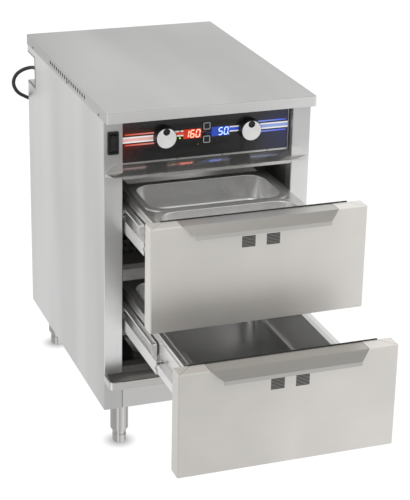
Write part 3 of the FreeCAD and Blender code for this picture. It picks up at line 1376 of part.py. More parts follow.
make_lid()
make_lid_screws()
make_side("side_panel_left", -1)
make_side("side_panel_right", 1)
make_back()
make_recess()
make_base()
make_apron()
make_rail()
make_header()
make_visor()
make_backplate()
make_overlay()
make_display("display_temperature", -1)
make_display("display_humidity", 1)
make_lamps()
make_key("key_up", 1)
make_key("key_down", -1)
make_knob("knob_temperature", -1)
make_knob("knob_humidity", 1)
make_encoders()
make_switch()
make_rocker()
make_liner()
make_water_pan()
make_heater()
for level, top, opening in (("upper", UPPER_TOP, "open_upper"), ("lower", LOWER_TOP, "open_lower")):
    make_rails("rails_" + level, top)
    make_carriages("carriages_" + level, top, opening)
    make_drawer_slides("drawer_slides_" + level, top, opening)
    make_front("front_" + level, top, opening)
    make_front_liner("front_liner_" + level, top, opening)
    make_gasket("gasket_" + level, top, opening)
    make_handle("handle_" + level, top, opening)
    make_box("drawer_box_" + level, top, opening)
make_carrier("pan_carrier_upper", UPPER_TOP, "open_upper", "third_short", 3)
make_carrier("pan_carrier_lower", LOWER_TOP, "open_lower", "full_long", 1)
make_pan("pan_front", UPPER_TOP, "open_upper", 0, "third_short", "third_depth")
make_pan("pan_rear", UPPER_TOP, "open_upper", 1, "third_short", "third_depth")
make_pan("pan_full", LOWER_TOP, "open_lower", 0, "full_long", "full_depth")
make_tray()
make_tray_brackets()
make_legs()
for place, x, y in LEG_SPOTS:
    make_foot("foot_" + place, x, y)
make_gland()
make_cord("cord", CORD_ROUTE)
make_coil()
make_cord("cord_tail", TAIL_ROUTE)
make_plug()
make_blades()

doc.recompute()

# ---------------------------------------------------------------- checks and files

failed = [item.Name for item in doc.Objects if "Invalid" in item.State or "Error" in item.State]
if failed:
    raise RuntimeError("objects that failed: " + ", ".join(failed))
for name, item in nodes.items():
    if item.Shape.isNull() or not item.Shape.isValid() or not item.Shape.Solids:
        raise RuntimeError("bad shape: " + name)

os.makedirs("parts", exist_ok=True)
for name, item in nodes.items():
    item.Shape.exportStep("parts/" + name + ".step")
print("%d sub-parts" % len(nodes))
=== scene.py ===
import math

import bpy
import numpy as np
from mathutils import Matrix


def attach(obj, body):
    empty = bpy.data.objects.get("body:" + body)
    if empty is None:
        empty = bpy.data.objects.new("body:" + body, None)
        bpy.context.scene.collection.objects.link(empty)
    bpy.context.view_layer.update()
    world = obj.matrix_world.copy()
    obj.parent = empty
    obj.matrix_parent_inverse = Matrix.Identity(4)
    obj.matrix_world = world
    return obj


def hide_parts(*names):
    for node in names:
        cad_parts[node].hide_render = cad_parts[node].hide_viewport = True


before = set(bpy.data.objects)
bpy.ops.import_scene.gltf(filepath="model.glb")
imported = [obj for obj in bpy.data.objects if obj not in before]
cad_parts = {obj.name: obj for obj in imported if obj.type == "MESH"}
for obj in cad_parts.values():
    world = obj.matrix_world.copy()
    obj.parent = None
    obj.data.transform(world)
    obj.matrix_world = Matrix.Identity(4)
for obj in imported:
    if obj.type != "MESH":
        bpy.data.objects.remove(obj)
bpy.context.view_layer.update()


# ---- Studio: a white sweep under the cabinet, soft light and the camera ----
# The camera looks down at the front left corner with a long lens. The floor is a matt white
# sheet; the world is a white studio that darkens towards the ceiling.

class Wire:
    """One socket of a shader tree. + - * / > < ** on it add Math nodes."""

    def __init__(self, tree, socket):
        self.tree, self.socket = tree, socket

    def math(self, operation, first, second=0.0):
        """One Math node on two numbers or wires."""
        made = self.tree.nodes.new("ShaderNodeMath")
        made.operation = operation
        for slot, value in zip(made.inputs, (first, second)):
            if isinstance(value, Wire):
                self.tree.links.new(value.socket, slot)
            else:
                slot.default_value = value
        return Wire(self.tree, made.outputs[0])

    def __add__(self, other): return self.math("ADD", self, other)
    def __radd__(self, other): return self.math("ADD", other, self)
    def __sub__(self, other): return self.math("SUBTRACT", self, other)
    def __rsub__(self, other): return self.math("SUBTRACT", other, self)
    def __mul__(self, other): return self.math("MULTIPLY", self, other)
    def __rmul__(self, other): return self.math("MULTIPLY", other, self)
    def __truediv__(self, other): return self.math("DIVIDE", self, other)
    def __pow__(self, other): return self.math("POWER", self, other)
    def __gt__(self, other): return self.math("GREATER_THAN", self, other)
    def __lt__(self, other): return self.math("LESS_THAN", self, other)
    def __abs__(self): return self.math("ABSOLUTE", self)
    def __or__(self, other): return self.math("MAXIMUM", self, other)
    def __and__(self, other): return self.math("MINIMUM", self, other)

    def clamp(self):
        """The value held between 0 and 1."""
        return (self | 0.0) & 1.0

    def ramp(self, stops):
        """A colour ramp along the value, from (place, colour) stops."""
        made = self.tree.nodes.new("ShaderNodeValToRGB")
        bar = made.color_ramp.elements
        while len(bar) < len(stops):
            bar.new(1.0)
        for element, (place, colour) in zip(bar, stops):
            element.position, element.color = place, colour
        self.tree.links.new(self.socket, made.inputs[0])
        return Wire(self.tree, made.outputs[0])

    def sine(self): return self.math("SINE", self)
    def root(self): return self.math("SQRT", self | 0.0)


class Finish:
    """The shader tree of one surface, light or sky."""

    def __init__(self, name, owner=None):
        self.owner = owner or bpy.data.materials.new(name)
        self.owner.use_nodes = True
        self.tree = self.owner.node_tree
        self.tree.nodes.clear()

    def node(self, kind, settings=None, sockets=None, out=0):
        """Add one node: its settings first, then the values or links of its sockets."""
        made = self.tree.nodes.new("ShaderNode" + kind)
        for key, value in (settings or {}).items():
            setattr(made, key, value)
        for key, value in (sockets or {}).items():
            slot = made.inputs[key]
            if isinstance(value, Wire):
                self.tree.links.new(value.socket, slot)
            else:
                slot.default_value = value
        return Wire(self.tree, made.outputs[out]) if made.outputs else None

    def place(self):
        """Object coordinates as a vector and as three separate values."""
        spot = self.node("TexCoord", out=3)
        return spot, [self.node("SeparateXYZ", sockets={0: spot}, out=k) for k in range(3)]

    def noise(self, where, stretch, detail=2.0, rough=0.5):
        """Noise from 0 to 1, with its own number of cells per metre along X, Y and Z."""
        grid = self.node("Mapping", sockets={"Vector": where, "Scale": stretch})
        return self.node("TexNoise", sockets={"Vector": grid, "Scale": 1.0, "Detail": detail,
                                              "Roughness": rough})

    def blend(self, amount, low, high):
        """A colour between two, by an amount from 0 to 1."""
        mix = self.tree.nodes.new("ShaderNodeMix")
        mix.data_type = "RGBA"
        for key, value in (("Factor", amount), ("A", low), ("B", high)):
            slot = [s for s in mix.inputs if s.name == key and s.enabled][0]
            if isinstance(value, Wire):
                self.tree.links.new(value.socket, slot)
            else:
                slot.default_value = value
        return Wire(self.tree, [s for s in mix.outputs if s.enabled][0])

    def surface(self, bump=None, depth=0.0, **sockets):
        """Close the tree with a Principled surface; bump is a height from 0 to 1, depth its metres."""
        values = {key.replace("_", " "): value for key, value in sockets.items()}
        if bump is not None:
            values["Normal"] = self.node("Bump", sockets={"Height": bump, "Distance": depth,
                                                          "Strength": 1.0})
        shade = self.node("BsdfPrincipled", sockets=values)
        self.node("OutputMaterial", sockets={"Surface": shade})
        return self.owner


def grey(level, warm=0.0):
    """A grey of one linear level, with a little warmth."""
    return (level * (1 + warm), level, level * (1 - 1.6 * warm), 1.0)


eye = bpy.data.objects.new("studio_camera", bpy.data.cameras.new("studio_camera"))
bpy.context.scene.collection.objects.link(eye)
eye.location = (-1.16739, -3.22295, 1.83804)
eye.rotation_euler = [math.radians(angle) for angle in (68.12397, -1.1048, -19.78262)]
eye.data.sensor_width = 36.0
eye.data.lens = 117.677
eye.data.shift_x, eye.data.shift_y = 0.00167, -0.01427
eye.data.clip_end = 50.0
bpy.context.scene.camera = eye
bpy.context.scene.view_settings.view_transform = "Standard"

# Seen directly, through a window or in a reflection the backdrop is plain white; above it the
# studio darkens towards the ceiling.
sky = bpy.data.worlds.new("studio_sky")
bpy.context.scene.world = sky
air = Finish("studio_sky", sky)
straight = air.node("LightPath", out=0) | air.node("LightPath", out=6)
up = air.node("SeparateXYZ", sockets={0: air.node("TexCoord", out=0)}, out=2)
mirrored = air.node("LightPath", out=3) * ((0.85 - up) * 1.8).clamp()
ceiling = up.clamp().ramp([
    (0.0, grey(0.95)), (0.2, grey(0.86)), (0.45, grey(0.8)), (0.72, grey(0.5, 0.02)),
    (0.9, grey(0.34, 0.03)), (1.0, grey(0.42, 0.02))])
air.node("OutputWorld", sockets={"Surface": air.node("Background", sockets={
    "Color": air.blend(straight | mirrored, ceiling, (1, 1, 1, 1)), "Strength": 1.0})})

for name, place, size, power in (
        ("key_light", (-2.4, -2.4, 3.0), 3.2, 30.0), ("top_light", (0.6, 0.6, 3.6), 3.6, 30.0),
        ("fill_light", (2.8, -1.6, 1.8), 2.4, 10.0)):
    panel = bpy.data.lights.new(name, "AREA")
    panel.shape, panel.size, panel.energy = "SQUARE", size, power
    lamp = bpy.data.objects.new(name, panel)
    bpy.context.scene.collection.objects.link(lamp)
    lamp.location = place
    lamp.visible_camera = False
    away = np.array(place) - np.array((0.0, 0.0, 0.45))
    lamp.rotation_euler = (math.atan2(math.hypot(away[0], away[1]), away[2]), 0.0,
                           math.atan2(away[1], away[0]) + math.pi / 2)


def shape(name, points, faces, smooth=True):
    """A mesh piece from an array of points and a list of faces."""
    mesh = bpy.data.meshes.new(name)
    mesh.from_pydata(np.asarray(points, float).tolist(), [], [list(map(int, f)) for f in faces])
    mesh.validate()
    mesh.polygons.foreach_set("use_smooth", np.full(len(mesh.polygons), smooth))
    piece = bpy.data.objects.new(name, mesh)
    bpy.context.scene.collection.objects.link(piece)
    return piece


# The floor is white paper. Soft shadows are painted on it round the four feet; real shadows show on it
# only faintly. Seen in reflections it glows, brighter towards the right and the back.
foot_side, foot_front, foot_rear = 0.1875, -0.021, 0.531
shadow_radius = 0.046
sweep = Finish("sweep_white")
straight = sweep.node("LightPath", out=0) | sweep.node("LightPath", out=3)
_, (x, y, _) = sweep.place()
across = abs(x) - foot_side
near = (across * across + (y - foot_front) * (y - foot_front)).root()
far = (across * across + (y - foot_rear) * (y - foot_rear)).root()
shade = (1 - (near & far) / shadow_radius).clamp() ** 1.3
matt = sweep.node("BsdfDiffuse", sockets={"Color": (0.86, 0.86, 0.86, 1)})
seen = sweep.node("LightPath", out=0)
sheen = (0.97 + 0.45 * (x - 0.26) + 0.5 * (y + 1.27)) & 1.0 | 0.75
white = sweep.node("Emission", sockets={
    "Color": (1, 1, 1, 1), "Strength": seen * (1.12 - shade) + (1 - seen) * sheen})
sweep.node("OutputMaterial", sockets={"Surface": sweep.node(
    "MixShader", sockets={0: straight * 0.88, 1: matt, 2: white})})
floor = shape("studio_floor", [(-14, -14, 0), (14, -14, 0), (14, 14, 0), (-14, 14, 0)],
              [(0, 1, 2, 3)], smooth=False)
floor.data.materials.append(sweep.owner)


# ---- Supply cord: a black rubber lead from the gland, coiled behind the cabinet ----
# One jacketed lead, 9 mm thick. It loops out of the recess, drops behind the back panel and is
# wound into a coil on the floor, with its plug beside it.

cord_radius = 0.0045
# Y is measured back from the front plane of the posts, which stands at this Y of the frame.
front_plane = -0.071
run = np.array([
    (-222, 625.2, 733), (-222.6, 645, 731.8), (-225, 665.5, 727.6), (-242, 680.3, 720.3),
    (-262, 681.7, 707.6), (-272, 673.8, 687.5), (-262, 669.2, 664.9), (-240, 677, 650.5),
    (-212, 688, 634), (-200, 690, 596), (-192, 688, 541), (-170, 696, 466),
    (-138, 708, 376), (-100, 716, 270), (-60, 712, 170), (-8, 702, 86), (56, 697, 36)]) / 1000
turn = np.linspace(0, 2.5, 31)[1:] * 2 * math.pi - math.pi / 2
wound = np.linspace(0, 1, 30)
# Nearly one turn lies on top; then the lead steps down and spirals outwards for a turn and a half.
level = np.interp(wound, [0, 0.34, 0.44, 1], [12.3, 12.3, 4.6, 4.6]) / 1000
reach = np.interp(wound, [0, 0.34, 0.44, 1], [49.5, 49.5, 45.5, 54.0]) / 1000
coil = np.stack([0.116 + reach * np.cos(turn), 0.746 + reach * np.sin(turn), level], axis=1)
tail = np.array([(84.0, 800.5, 5.5), (56.0, 801.5, 9.5), (28.0, 801.0, 11.0)]) / 1000
route = np.concatenate([run, coil, tail])
route[:, 1] += front_plane

line = bpy.data.curves.new("supply_cord", "CURVE")
line.dimensions = "3D"
strand = line.splines.new("NURBS")
strand.points.add(len(route) - 1)
strand.points.foreach_set("co", np.c_[route, np.ones(len(route))].ravel())
strand.order_u = 3
strand.use_endpoint_u = True
strand.resolution_u = 8
line.bevel_depth = cord_radius
line.bevel_resolution = 5
lead = bpy.data.objects.new("supply_cord", line)
bpy.context.scene.collection.objects.link(lead)
jacket = Finish("cord_rubber")
spot, _ = jacket.place()
dust = jacket.noise(spot, (60, 60, 60), 3)
jacket.surface(Base_Color=jacket.blend(dust, grey(0.012), grey(0.028)), Roughness=0.42 + dust * 0.2,
               bump=jacket.noise(spot, (900, 900, 900)), depth=0.00006)
line.materials.append(jacket.owner)


def dress(material, *names):
    """Give CAD nodes a finish."""
    for name in names:
        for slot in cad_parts[name].material_slots:
            slot.material = material


dress(jacket.owner, "plug")
dress(jacket.owner, "cord_gland")
prong = Finish("plug_prong")
spot, _ = prong.place()
prong.surface(Base_Color=prong.blend(prong.noise(spot, (200, 900, 200)), (0.62, 0.55, 0.38, 1),
                                     (0.75, 0.68, 0.5, 1)), Metallic=1.0, Roughness=0.3)
dress(prong.owner, "plug_blades")
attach(lead, "cabinet")
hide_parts("cord", "cord_coil", "cord_tail")


# ---- Cabinet body: satin stainless sheet, folded, with the grain upright ----
# Side sheets wrap round the front corners into the posts. The back panel, base and cord recess
# are screwed between them.

def brushed(name, grain, tone=0.60, warm=0.012, rough=0.3, contrast=0.05, depth=0.000003,
            metal=0.88, bands=0.08, patches=0.04, shade=None, light=None, blur=None):
    """Satin stainless: streaks drawn out along grain (0, 1 or 2), with slow clouding and slow bands
    of painted reflection.

    shade and light are masks of painted shade and painted light, blur one of duller places, all
    made from the coordinates. bands and patches are the depths of the painted reflection bands
    along the grain and of the clouding; bands may be such a mask."""
    steel = Finish(name)
    spot, axes = steel.place()
    fine, broad = [330.0] * 3, [6.0] * 3
    fine[grain], broad[grain] = 3.0, 0.9
    streak = steel.noise(spot, fine, 4, 0.65)
    drift = steel.noise(spot, broad, 1, 0.4)
    cloud = steel.noise(spot, (4.0, 4.0, 4.0), 3)
    swing = bands(*axes) if callable(bands) else bands
    mixed = 0.5 + (streak - 0.5) * 4.8 * contrast
    mixed = mixed + (cloud - 0.5) * 5 * patches + (drift - 0.5) * swing * 5
    colour = steel.blend(mixed.clamp(), grey(tone - 0.2, warm), grey(tone + 0.2, warm))
    # Painted light, then painted shade, laid over the colour by the masks.
    if light:
        colour = steel.blend(light(*axes), colour, grey(0.95, warm))
    if shade:
        colour = steel.blend(shade(*axes), colour, grey(tone * 0.06, warm))
    finish = rough + (streak - 0.5) * contrast * 2 + (cloud - 0.5) * 0.06
    if blur:
        finish = finish + blur(*axes) * 0.2
    steel.surface(Base_Color=colour, Metallic=metal, Roughness=finish.clamp(), bump=streak, depth=depth)
    return steel.owner


def notch_edge_shade(x, y, z):
    """Painted shade along the bent edges round the cord notch, darker than the sheet."""
    notch_front, notch_floor, notch_roof, edge = 0.5152, 0.7005, 0.7715, 0.0082
    front = (y > notch_front - edge) * (y < notch_front) * 0.85
    rims = (y > notch_front) * ((z < notch_floor) | (z > notch_roof)) * 0.6
    return (front | rims) * (z > notch_floor - 0.004) * (z < notch_roof + 0.005) * (x < -0.235)


def post_face(x, y, z):
    """The front posts above the tray, which get more painted reflection bands and painted light than
    the sides.
    """
    return (y < -0.0702) * (z > 0.19)


def post_bands(x, y, z):
    """The depth of the slow painted reflection bands: more on the posts than on the sides."""
    return post_face(x, y, z) * 0.10 + 0.18


def post_light(x, y, z):
    """Painted light on the posts below the visor, the left one most, and on the left side a little
    towards the top.
    """
    below_visor = 1 - ((z - 0.64) * 14).clamp()
    posts = post_face(x, y, z) * below_visor * ((x < 0) * 0.28 + 0.42)
    return posts + ((z - 0.5) * 0.4).clamp() * (x < -0.236)


side_steel = brushed("side_steel", 2, tone=0.57, contrast=0.04, warm=0.003, rough=0.38,
                     bands=post_bands, shade=notch_edge_shade, light=post_light)
dress(side_steel, "side_panel_left", "side_panel_right", "back_panel", "base_plate", "cord_recess")
sill_steel = brushed("sill_steel", 0, tone=0.58, rough=0.26, contrast=0.03)
dress(sill_steel, "front_apron", "middle_rail", "header", "tray_brackets", "control_backplate")
liner_steel = brushed("liner_steel", 1, tone=0.42, rough=0.34)
dress(liner_steel, "cavity_liner")


# ---- Legs and feet: tube legs with screw-in bullet feet ----
# Drawn stainless tube; each foot is a turned steel pad on a threaded stud.

def leg_reflection_bands(x, y, z):
    """Painted reflections, upright soft bands round each leg: painted shade that lifts near three
    places of its turn.
    """
    between = (foot_front + foot_rear) / 2
    out, back = abs(x) - foot_side, y - foot_front - (y > between) * (foot_rear - foot_front)
    turn = out.math("ARCTAN2", back, out) / math.tau + 0.5
    band_shade = 0.6
    for middle, half_width, gain in ((0.22, 0.08, 0.5), (0.32, 0.03, 0.5), (0.65, 0.15, 0.4)):
        band_shade = band_shade - (1 - abs(turn - middle) / half_width).clamp() * gain
    return band_shade


leg_steel = brushed("leg_steel", 2, tone=0.79, rough=0.24, bands=0.0, shade=leg_reflection_bands)
dress(leg_steel, "legs", "foot_front_left", "foot_front_right", "foot_rear_left", "foot_rear_right")


# ---- Lid: a sheet pan turned down over the body, held by countersunk screws ----
# Brushed from front to back; its front corners are welded and carry painted highlights.

lid_bend = 0.8145


def lid_skirt_shade(x, y, z):
    """Painted shade: the turned-down side edges take less light than the top."""
    return (abs(x) > 0.2383) * (z < lid_bend) * 0.04


def lid_front_light(x, y, z):
    """Painted light on the front edge, and a painted highlight at each of its two ends."""
    edge = (y < -0.0963) * (z < lid_bend)
    inboard = ((0.2435 - abs(x)) / 0.012).clamp()
    return edge * (0.46 + (1 - inboard) * 0.45)


# The lid is a darker copy of the side steel: painted shade against the brighter sky it mirrors.
dress(brushed("lid_steel", 1, tone=0.50, warm=0.003, rough=0.42, contrast=0.03, bands=0.12,
              shade=lid_skirt_shade, light=lid_front_light), "lid")
screw_steel = brushed("screw_steel", 2, tone=0.24, rough=0.4)
dress(screw_steel, "lid_screws")


# ---- Drip visor: a bent stainless plate under the controls ----
# Smoother than the posts, so that it mirrors the displays above it.

def wing(x, y, z):
    """1 on the wing plates that lie on the posts."""
    return (abs(x) > 0.1955) * (y > -0.0735)


def wing_light(x, y, z):
    """Painted light: the wing plates are made brighter than the bent front."""
    return wing(x, y, z) * 0.4


# Its grain runs from side to side, deep enough to draw reflections out upright.
dress(brushed("visor_steel", 0, tone=0.54, rough=0.09, contrast=0.06, depth=0.00002, blur=wing,
              light=wing_light), "drip_visor")


# ---- Control panel: a printed film on the backplate ----
# Dark film with a red end for heat and a blue end for moisture. All of it is print on slightly
# glossy film; the printed marks are given a faint glow, a painted light that brightens them.

controls_height = 0.742
heat_glow, cool_glow = (0.16, 0.018, 0.012, 1), (0.012, 0.020, 0.115, 1)
film = Finish("panel_film")
spot, (x, _, z) = film.place()


def window(wire, low, high, soft=0.0003):
    """1 between two values, 0 outside, with soft edges."""
    middle, half = (low + high) / 2, (high - low) / 2
    return ((half - abs(wire - middle)) / soft + 0.5).clamp()


level = z - controls_height
ink = film.blend(film.noise(spot, (30, 30, 30)), grey(0.010), grey(0.016))
heat = ((-0.125 - x) / 0.065).clamp() ** 1.7 * (0.95 - abs(level + 0.006) * 16).clamp() * 0.75
cool = ((x - 0.10) / 0.09).clamp() ** 1.4 * (1.1 - abs(level + 0.01) * 12).clamp()
ink = film.blend(heat, ink, heat_glow)
ink = film.blend(cool, ink, cool_glow)
fade = ((abs(x) - 0.12) / 0.07).clamp()
printed = 0.0
# Each side has two thin lines round a white band with a coloured core, and a bridge from the
# knob to its display.
for side, lift, pale, deep, core, glow in (
        (-1, 0.0024, (0.90, 0.30, 0.26, 1), (0.72, 0.07, 0.03, 1), (0.86, 0.50, 0.48, 1), heat_glow),
        (1, -0.0016, (0.26, 0.34, 0.90, 1), (0.04, 0.10, 0.85, 1), (0.30, 0.40, 0.78, 1), cool_glow)):
    height = level + lift
    halo = (1 - abs(height) * 40).clamp() * window(x * side, 0.115, 0.195, 0.02)
    ink = film.blend(halo * 0.9, ink, glow)
    end = window(x * side, 0.1195, 0.1855, 0.001)
    for high in (0.0117, -0.0117):
        line = window(height, high - 0.0016, high + 0.0016) * end
        ink = film.blend(line, ink, film.blend(fade, pale, deep))
        printed = line | printed
    length = window(x * side, 0.121, 0.191)
    band = window(height, -0.0068, 0.0068) * length
    printed = band | printed
    ink = film.blend(band, ink, grey(0.95))
    ink = film.blend(window(height, -0.0036, 0.0036) * length, ink, core)
    bridge = window(x * side, 0.053, 0.080)
    plate = window(level, -0.0045, 0.0085) * bridge
    printed = plate | printed
    ink = film.blend(plate, ink, grey(0.88))
    ink = film.blend(window(level, -0.0015, 0.0055) * bridge, ink, deep)
ink = film.blend(window(x, -0.013, -0.0015) * window(level, 0.0010, 0.0024), ink, (0.55, 0.05, 0.02, 1))
ink = film.blend(window(x, 0.0, 0.013) * window(level, -0.0035, -0.0018), ink, (0.02, 0.07, 0.55, 1))
# The faint glow of the printed marks is painted light.
film.surface(Base_Color=ink, Roughness=0.22, Coat_Weight=0.3, Emission_Strength=0.28,
             Emission_Color=film.blend(printed, grey(0.0), ink))
dress(film.owner, "control_overlay")


# ---- Panel screws: three low blackened heads on the bare strip under the film ----
# They are screwed into the backplate from the front.

def heads(name, places, radius, rise, sides=16, rings=5):
    """Low domes that face forward; the rise falls off with the square of the distance."""
    reach = np.repeat(np.linspace(0.0, 1.0, rings), sides)
    spin = np.tile(np.arange(sides) * math.tau / sides, rings)
    dome = np.stack([radius * reach * np.cos(spin), -rise * (1 - reach ** 2),
                     radius * reach * np.sin(spin)], axis=1)
    quads = [(first + k, first + (k + 1) % sides, first + sides + (k + 1) % sides, first + sides + k)
             for first in range(0, (rings - 1) * sides, sides) for k in range(sides)]
    points = np.concatenate([dome + place for place in places])
    faces = [[corner + len(dome) * n for corner in quad]
             for n in range(len(places)) for quad in quads]
    return shape(name, points, faces)


plate_face, strip_height = -0.055, 0.687
strip_screws = heads("strip_screws", [(x, plate_face, strip_height) for x in (-0.0657, 0.0383, 0.1432)],
                     radius=0.0016, rise=0.0007)
black_oxide = Finish("black_oxide")
black_oxide.surface(Base_Color=grey(0.02), Metallic=0.6, Roughness=0.45)
strip_screws.data.materials.append(black_oxide.owner)
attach(strip_screws, "cabinet")


# ---- Displays: tinted windows with three-digit LED modules behind them ----
# The segments are flat glowing bars laid on the window, where their light is seen; the first cell
# of the blue one is off.

window_face = -0.0545


def tinted(name, edge, glow, strength):
    """A coloured window lit from behind; only its face glows."""
    pane = Finish(name)
    _, (_, y, _) = pane.place()
    front = y < window_face
    pane.surface(Base_Color=edge, Roughness=0.12, Coat_Weight=0.5, Emission_Strength=strength,
                 Emission_Color=pane.blend(front, grey(0.0), glow))
    return pane.owner


dress(tinted("window_red", (0.30, 0.02, 0.01, 1), (0.55, 0.035, 0.015, 1), 0.75),
      "display_temperature")
dress(tinted("window_blue", (0.01, 0.03, 0.22, 1), (0.03, 0.07, 0.42, 1), 0.75), "display_humidity")

figures = {"0": "abcdef", "1": "bc", "5": "acdfg", "6": "acdefg"}
bars = {"a": (0, 2, 1, 2), "b": (1, 2, 1, 1), "c": (1, 1, 1, 0), "d": (0, 0, 1, 0),
        "e": (0, 1, 0, 0), "f": (0, 2, 0, 1), "g": (0, 1, 1, 1)}
display_height = 0.741


def digits(name, text, middle, colour, dot=False):
    """Glowing segment bars: each is a pointed flat hexagon, leaning 8 degrees."""
    cell = np.array((0.0082, 0.0078))
    pitch, half_bar, gap, point, lean = 0.0128, 0.0010, 0.0004, 0.0009, 0.14
    depth = -0.0556
    points, faces = [], []
    for place, figure in enumerate(text):
        left = middle + (place - 1) * pitch - cell[0] / 2
        for bar in figures.get(figure, ""):
            ends = np.array(bars[bar]).reshape(2, 2) * cell
            along = (ends[1] - ends[0]) / np.linalg.norm(ends[1] - ends[0])
            side = np.array((-along[1], along[0])) * half_bar
            start, end = ends[0] + along * gap, ends[1] - along * gap
            ring = [start, start + along * point + side, end - along * point + side, end,
                    end - along * point - side, start + along * point - side]
            faces.append(range(len(points), len(points) + 6))
            for px, pz in ring:
                rise = pz - cell[1]
                points.append((left + px + rise * lean, depth, display_height + rise))
    if dot:
        radius, right, down = 0.0011, 0.0186, 0.0076
        faces.append(range(len(points), len(points) + 8))
        for k in range(8):
            spin = k * math.pi / 4
            points.append((middle + right + radius * math.cos(spin), depth,
                           display_height - down + radius * math.sin(spin)))
    piece = shape(name, points, faces, smooth=False)
    glow = Finish(name)
    glow.surface(Base_Color=colour, Emission_Color=colour, Emission_Strength=2.4)
    piece.data.materials.append(glow.owner)
    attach(piece, "cabinet")


digits("digits_temperature", "160", -0.0325, (1.0, 0.34, 0.24, 1))
digits("digits_humidity", " 50", 0.0325, (0.30, 0.42, 1.0, 1), dot=True)


# ---- Keys and lamps: sprung caps and three indicator lenses ----
# Black caps with a printed outline; one green lamp is lit, two amber ones are off.

key_rise, key_half, key_corner, outline = 0.015, 0.0053, 0.0025, 0.0014
caps = Finish("key_caps")
_, (x, _, z) = caps.place()
across, tall = abs(x) - key_half, abs(abs(z - display_height) - key_rise) - key_half
outside = ((across | 0.0) ** 2 + (tall | 0.0) ** 2).root() + ((across | tall) & 0.0) - key_corner
rim = window(outside, -outline, 0.0)
caps.surface(Base_Color=caps.blend(rim, grey(0.012), grey(0.62)), Roughness=0.35)
dress(caps.owner, "key_up", "key_down")

lens = Finish("lamp_lenses")
_, (x, y, z) = lens.place()
lit = (x < -0.04) * (z < display_height)
glow = lens.blend(lit * (y < window_face), grey(0.0), (0.34, 1.0, 0.06, 1))
lens.surface(Base_Color=lens.blend(lit, (0.28, 0.22, 0.01, 1), (0.2, 0.6, 0.03, 1)), Roughness=0.2,
             Emission_Color=glow, Emission_Strength=1.5)
dress(lens.owner, "status_lamps")


# ---- Knobs: black moulded skirts with a spun aluminium disc set in the face ----
# Turning marks run round the disc; the finger dimple is bare black plastic.

def knob(name, centre):
    """Black plastic, and pale spun metal where the disc is, its colour swinging with the angle as a
    painted sheen.
    """
    disc_radius, dimple_rise, dimple_radius, disc_face = 0.02195, 0.0142, 0.0079, -0.0728
    grip = Finish(name)
    _, (x, y, z) = grip.place()
    side, rise = x - centre, z - controls_height
    reach = (side * side + rise * rise).root()
    dimple = (side * side + (rise - dimple_rise) * (rise - dimple_rise)).root()
    disc = (reach < disc_radius) * (dimple > dimple_radius) * (y < disc_face)
    rings = (reach * 9000).sine()
    painted_sheen = (side.math("ARCTAN2", side, rise) * 2 + 2.2).sine() * 0.27
    bright = grip.blend((0.5 + painted_sheen).clamp(), grey(0.90), grey(1.0))
    grip.surface(Base_Color=grip.blend(disc, grey(0.011), bright), Metallic=disc * 0.05,
                 Roughness=0.42 - disc * 0.16, bump=rings * disc, depth=0.000003)
    dress(grip.owner, name)


knob_spacing = 0.195
knob("knob_temperature", -knob_spacing / 2)
knob("knob_humidity", knob_spacing / 2)
dress(screw_steel, "encoders")


# ---- Power switch: a rocker in a snap-in bezel on the left post ----
# Gloss black mouldings.

shell = Finish("switch_plastic")
spot, _ = shell.place()
shell.surface(Base_Color=shell.blend(shell.noise(spot, (50, 50, 50)), grey(0.009), grey(0.016)),
              Roughness=0.28)
dress(shell.owner, "rocker", "switch_body")


# ---- Slides: bright zinc-plated rolled channels ----
# Each side has a fixed rail, a carriage between and a member on the drawer box.

dress(brushed("slide_zinc", 1, tone=0.76, warm=0.004, rough=0.26, contrast=0.015, depth=0.0000005),
      "rails_upper", "rails_lower", "carriages_upper", "carriages_lower",
      "drawer_slides_upper", "drawer_slides_lower")


# ---- Drawers: folded fronts with a sloped pull, on sheet boxes with a pan carrier ----
# The fronts are brushed from side to side. Their mitred top corners show as a fine line.

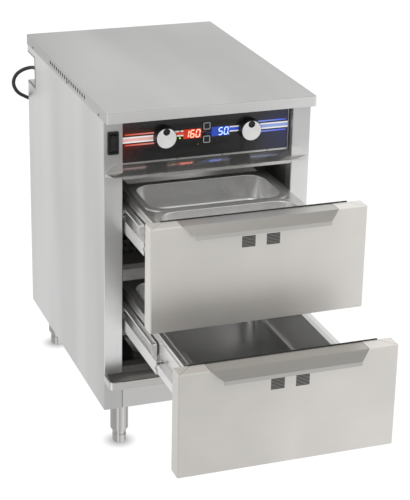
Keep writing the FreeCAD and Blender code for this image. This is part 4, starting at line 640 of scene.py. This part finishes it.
def dress_drawer(which, top, face, tone):
    """Finish one drawer; top is the height of its front's upper edge, face its front plane."""
    half_width, height, sheet = 0.2345, 0.2260, 0.0011

    def front_seams_and_shade(x, y, z):
        """The dark seams of the top edge, painted shade in the hollow inside, and painted shade on the
        blades between the louvres.
        """
        inward, back, down = half_width - abs(x), y - face, top - z
        mitre = (abs(inward - back) < 0.0007) * (back > 0.0005)
        seam = (mitre | (abs(abs(x) - 0.1686) < 0.0009)) * (down < 0.0008)
        hollow = (inward > sheet) * (back > sheet) * (down > sheet) * (down < height - sheet)
        blades = (abs(abs(x) - 0.02675) < 0.0147) * (abs(down - 0.0475) < 0.0122)
        return (seam * 0.6) | hollow | (blades * 0.62)

    def front_light(x, y, z):
        """Painted light: fronts brighten to the right, with one soft upright streak of painted
        reflection, and a painted highlight at the top edge.
        """
        down = top - z
        streak = (1 - abs(x - 0.03 + down * 0.12) / 0.05).clamp() * ((down - 0.09) * 5).clamp()
        return ((x + 0.05) * 0.8).clamp() + (down < 0.0012) * 0.3 + streak * 0.22

    def liner_hollow_shade(x, y, z):
        """Painted shade on the side of the liner plate that faces into the hollow front."""
        return y < face + 0.0345

    dress(brushed("front_steel_" + which, 0, tone=tone, warm=0.03, rough=0.36, contrast=0.02,
                  metal=0.75, bands=0.05, patches=0.12, shade=front_seams_and_shade, light=front_light),
          "front_" + which)
    # The pull is a darker copy of its front's steel: painted shade for the darker ceiling its slope
    # faces.
    dress(brushed("pull_steel_" + which, 0, tone=tone * 0.74, warm=0.026, rough=0.3, contrast=0.03,
                  depth=0.000001), "handle_" + which)
    dress(brushed("liner_steel_" + which, 0, tone=0.58, rough=0.3, shade=liner_hollow_shade),
          "front_liner_" + which)


# The lower front is a darker copy of the upper one's steel, and its pull with it: painted shade.
dress_drawer("upper", top=0.6646, face=-0.3870, tone=0.68)
dress_drawer("lower", top=0.4306, face=-0.5645, tone=0.61)
dress(brushed("box_steel", 1, tone=0.74, rough=0.26, contrast=0.02, depth=0.000001),
      "drawer_box_upper", "drawer_box_lower", "pan_carrier_upper", "pan_carrier_lower")
seal = Finish("gasket_rubber")
seal.surface(Base_Color=grey(0.012), Roughness=0.6)
dress(seal.owner, "gasket_upper", "gasket_lower")


# ---- Pans: deep-drawn stainless, satin inside ----
# Two third-size pans sit in the upper drawer and a full-size one in the lower.

pan_steel = brushed("pan_steel", 0, tone=0.66, warm=0.004, rough=0.26, contrast=0.01, depth=0.0000003,
                    metal=0.85)
dress(pan_steel, "pan_full")
# The third pans are a lighter, less metallic copy of the pan steel: painted light in the drawer's
# shade.
dress(brushed("third_steel", 0, tone=0.79, warm=0.003, rough=0.24, contrast=0.01, depth=0.0000003,
              metal=0.75), "pan_front", "pan_rear")


# ---- Water pan, heater and drip tray ----
# The open water pan and the tubular heater stand on the cavity floor; the tray hangs in front.

def tray_light(x, y, z):
    """A painted highlight down the rounded front corners, where the sheet was rolled."""
    out, back = abs(x) - 0.236, y + 0.1185
    return (1 - (out * out + back * back).root() / 0.0045).clamp() * 0.95


dress(pan_steel, "water_pan")
dress(brushed("sheath_steel", 1, tone=0.3, warm=0.05, rough=0.45), "heater")
dress(brushed("tray_steel", 0, tone=0.52, warm=0.02, rough=0.2, contrast=0.07, light=tray_light),
      "drip_tray")
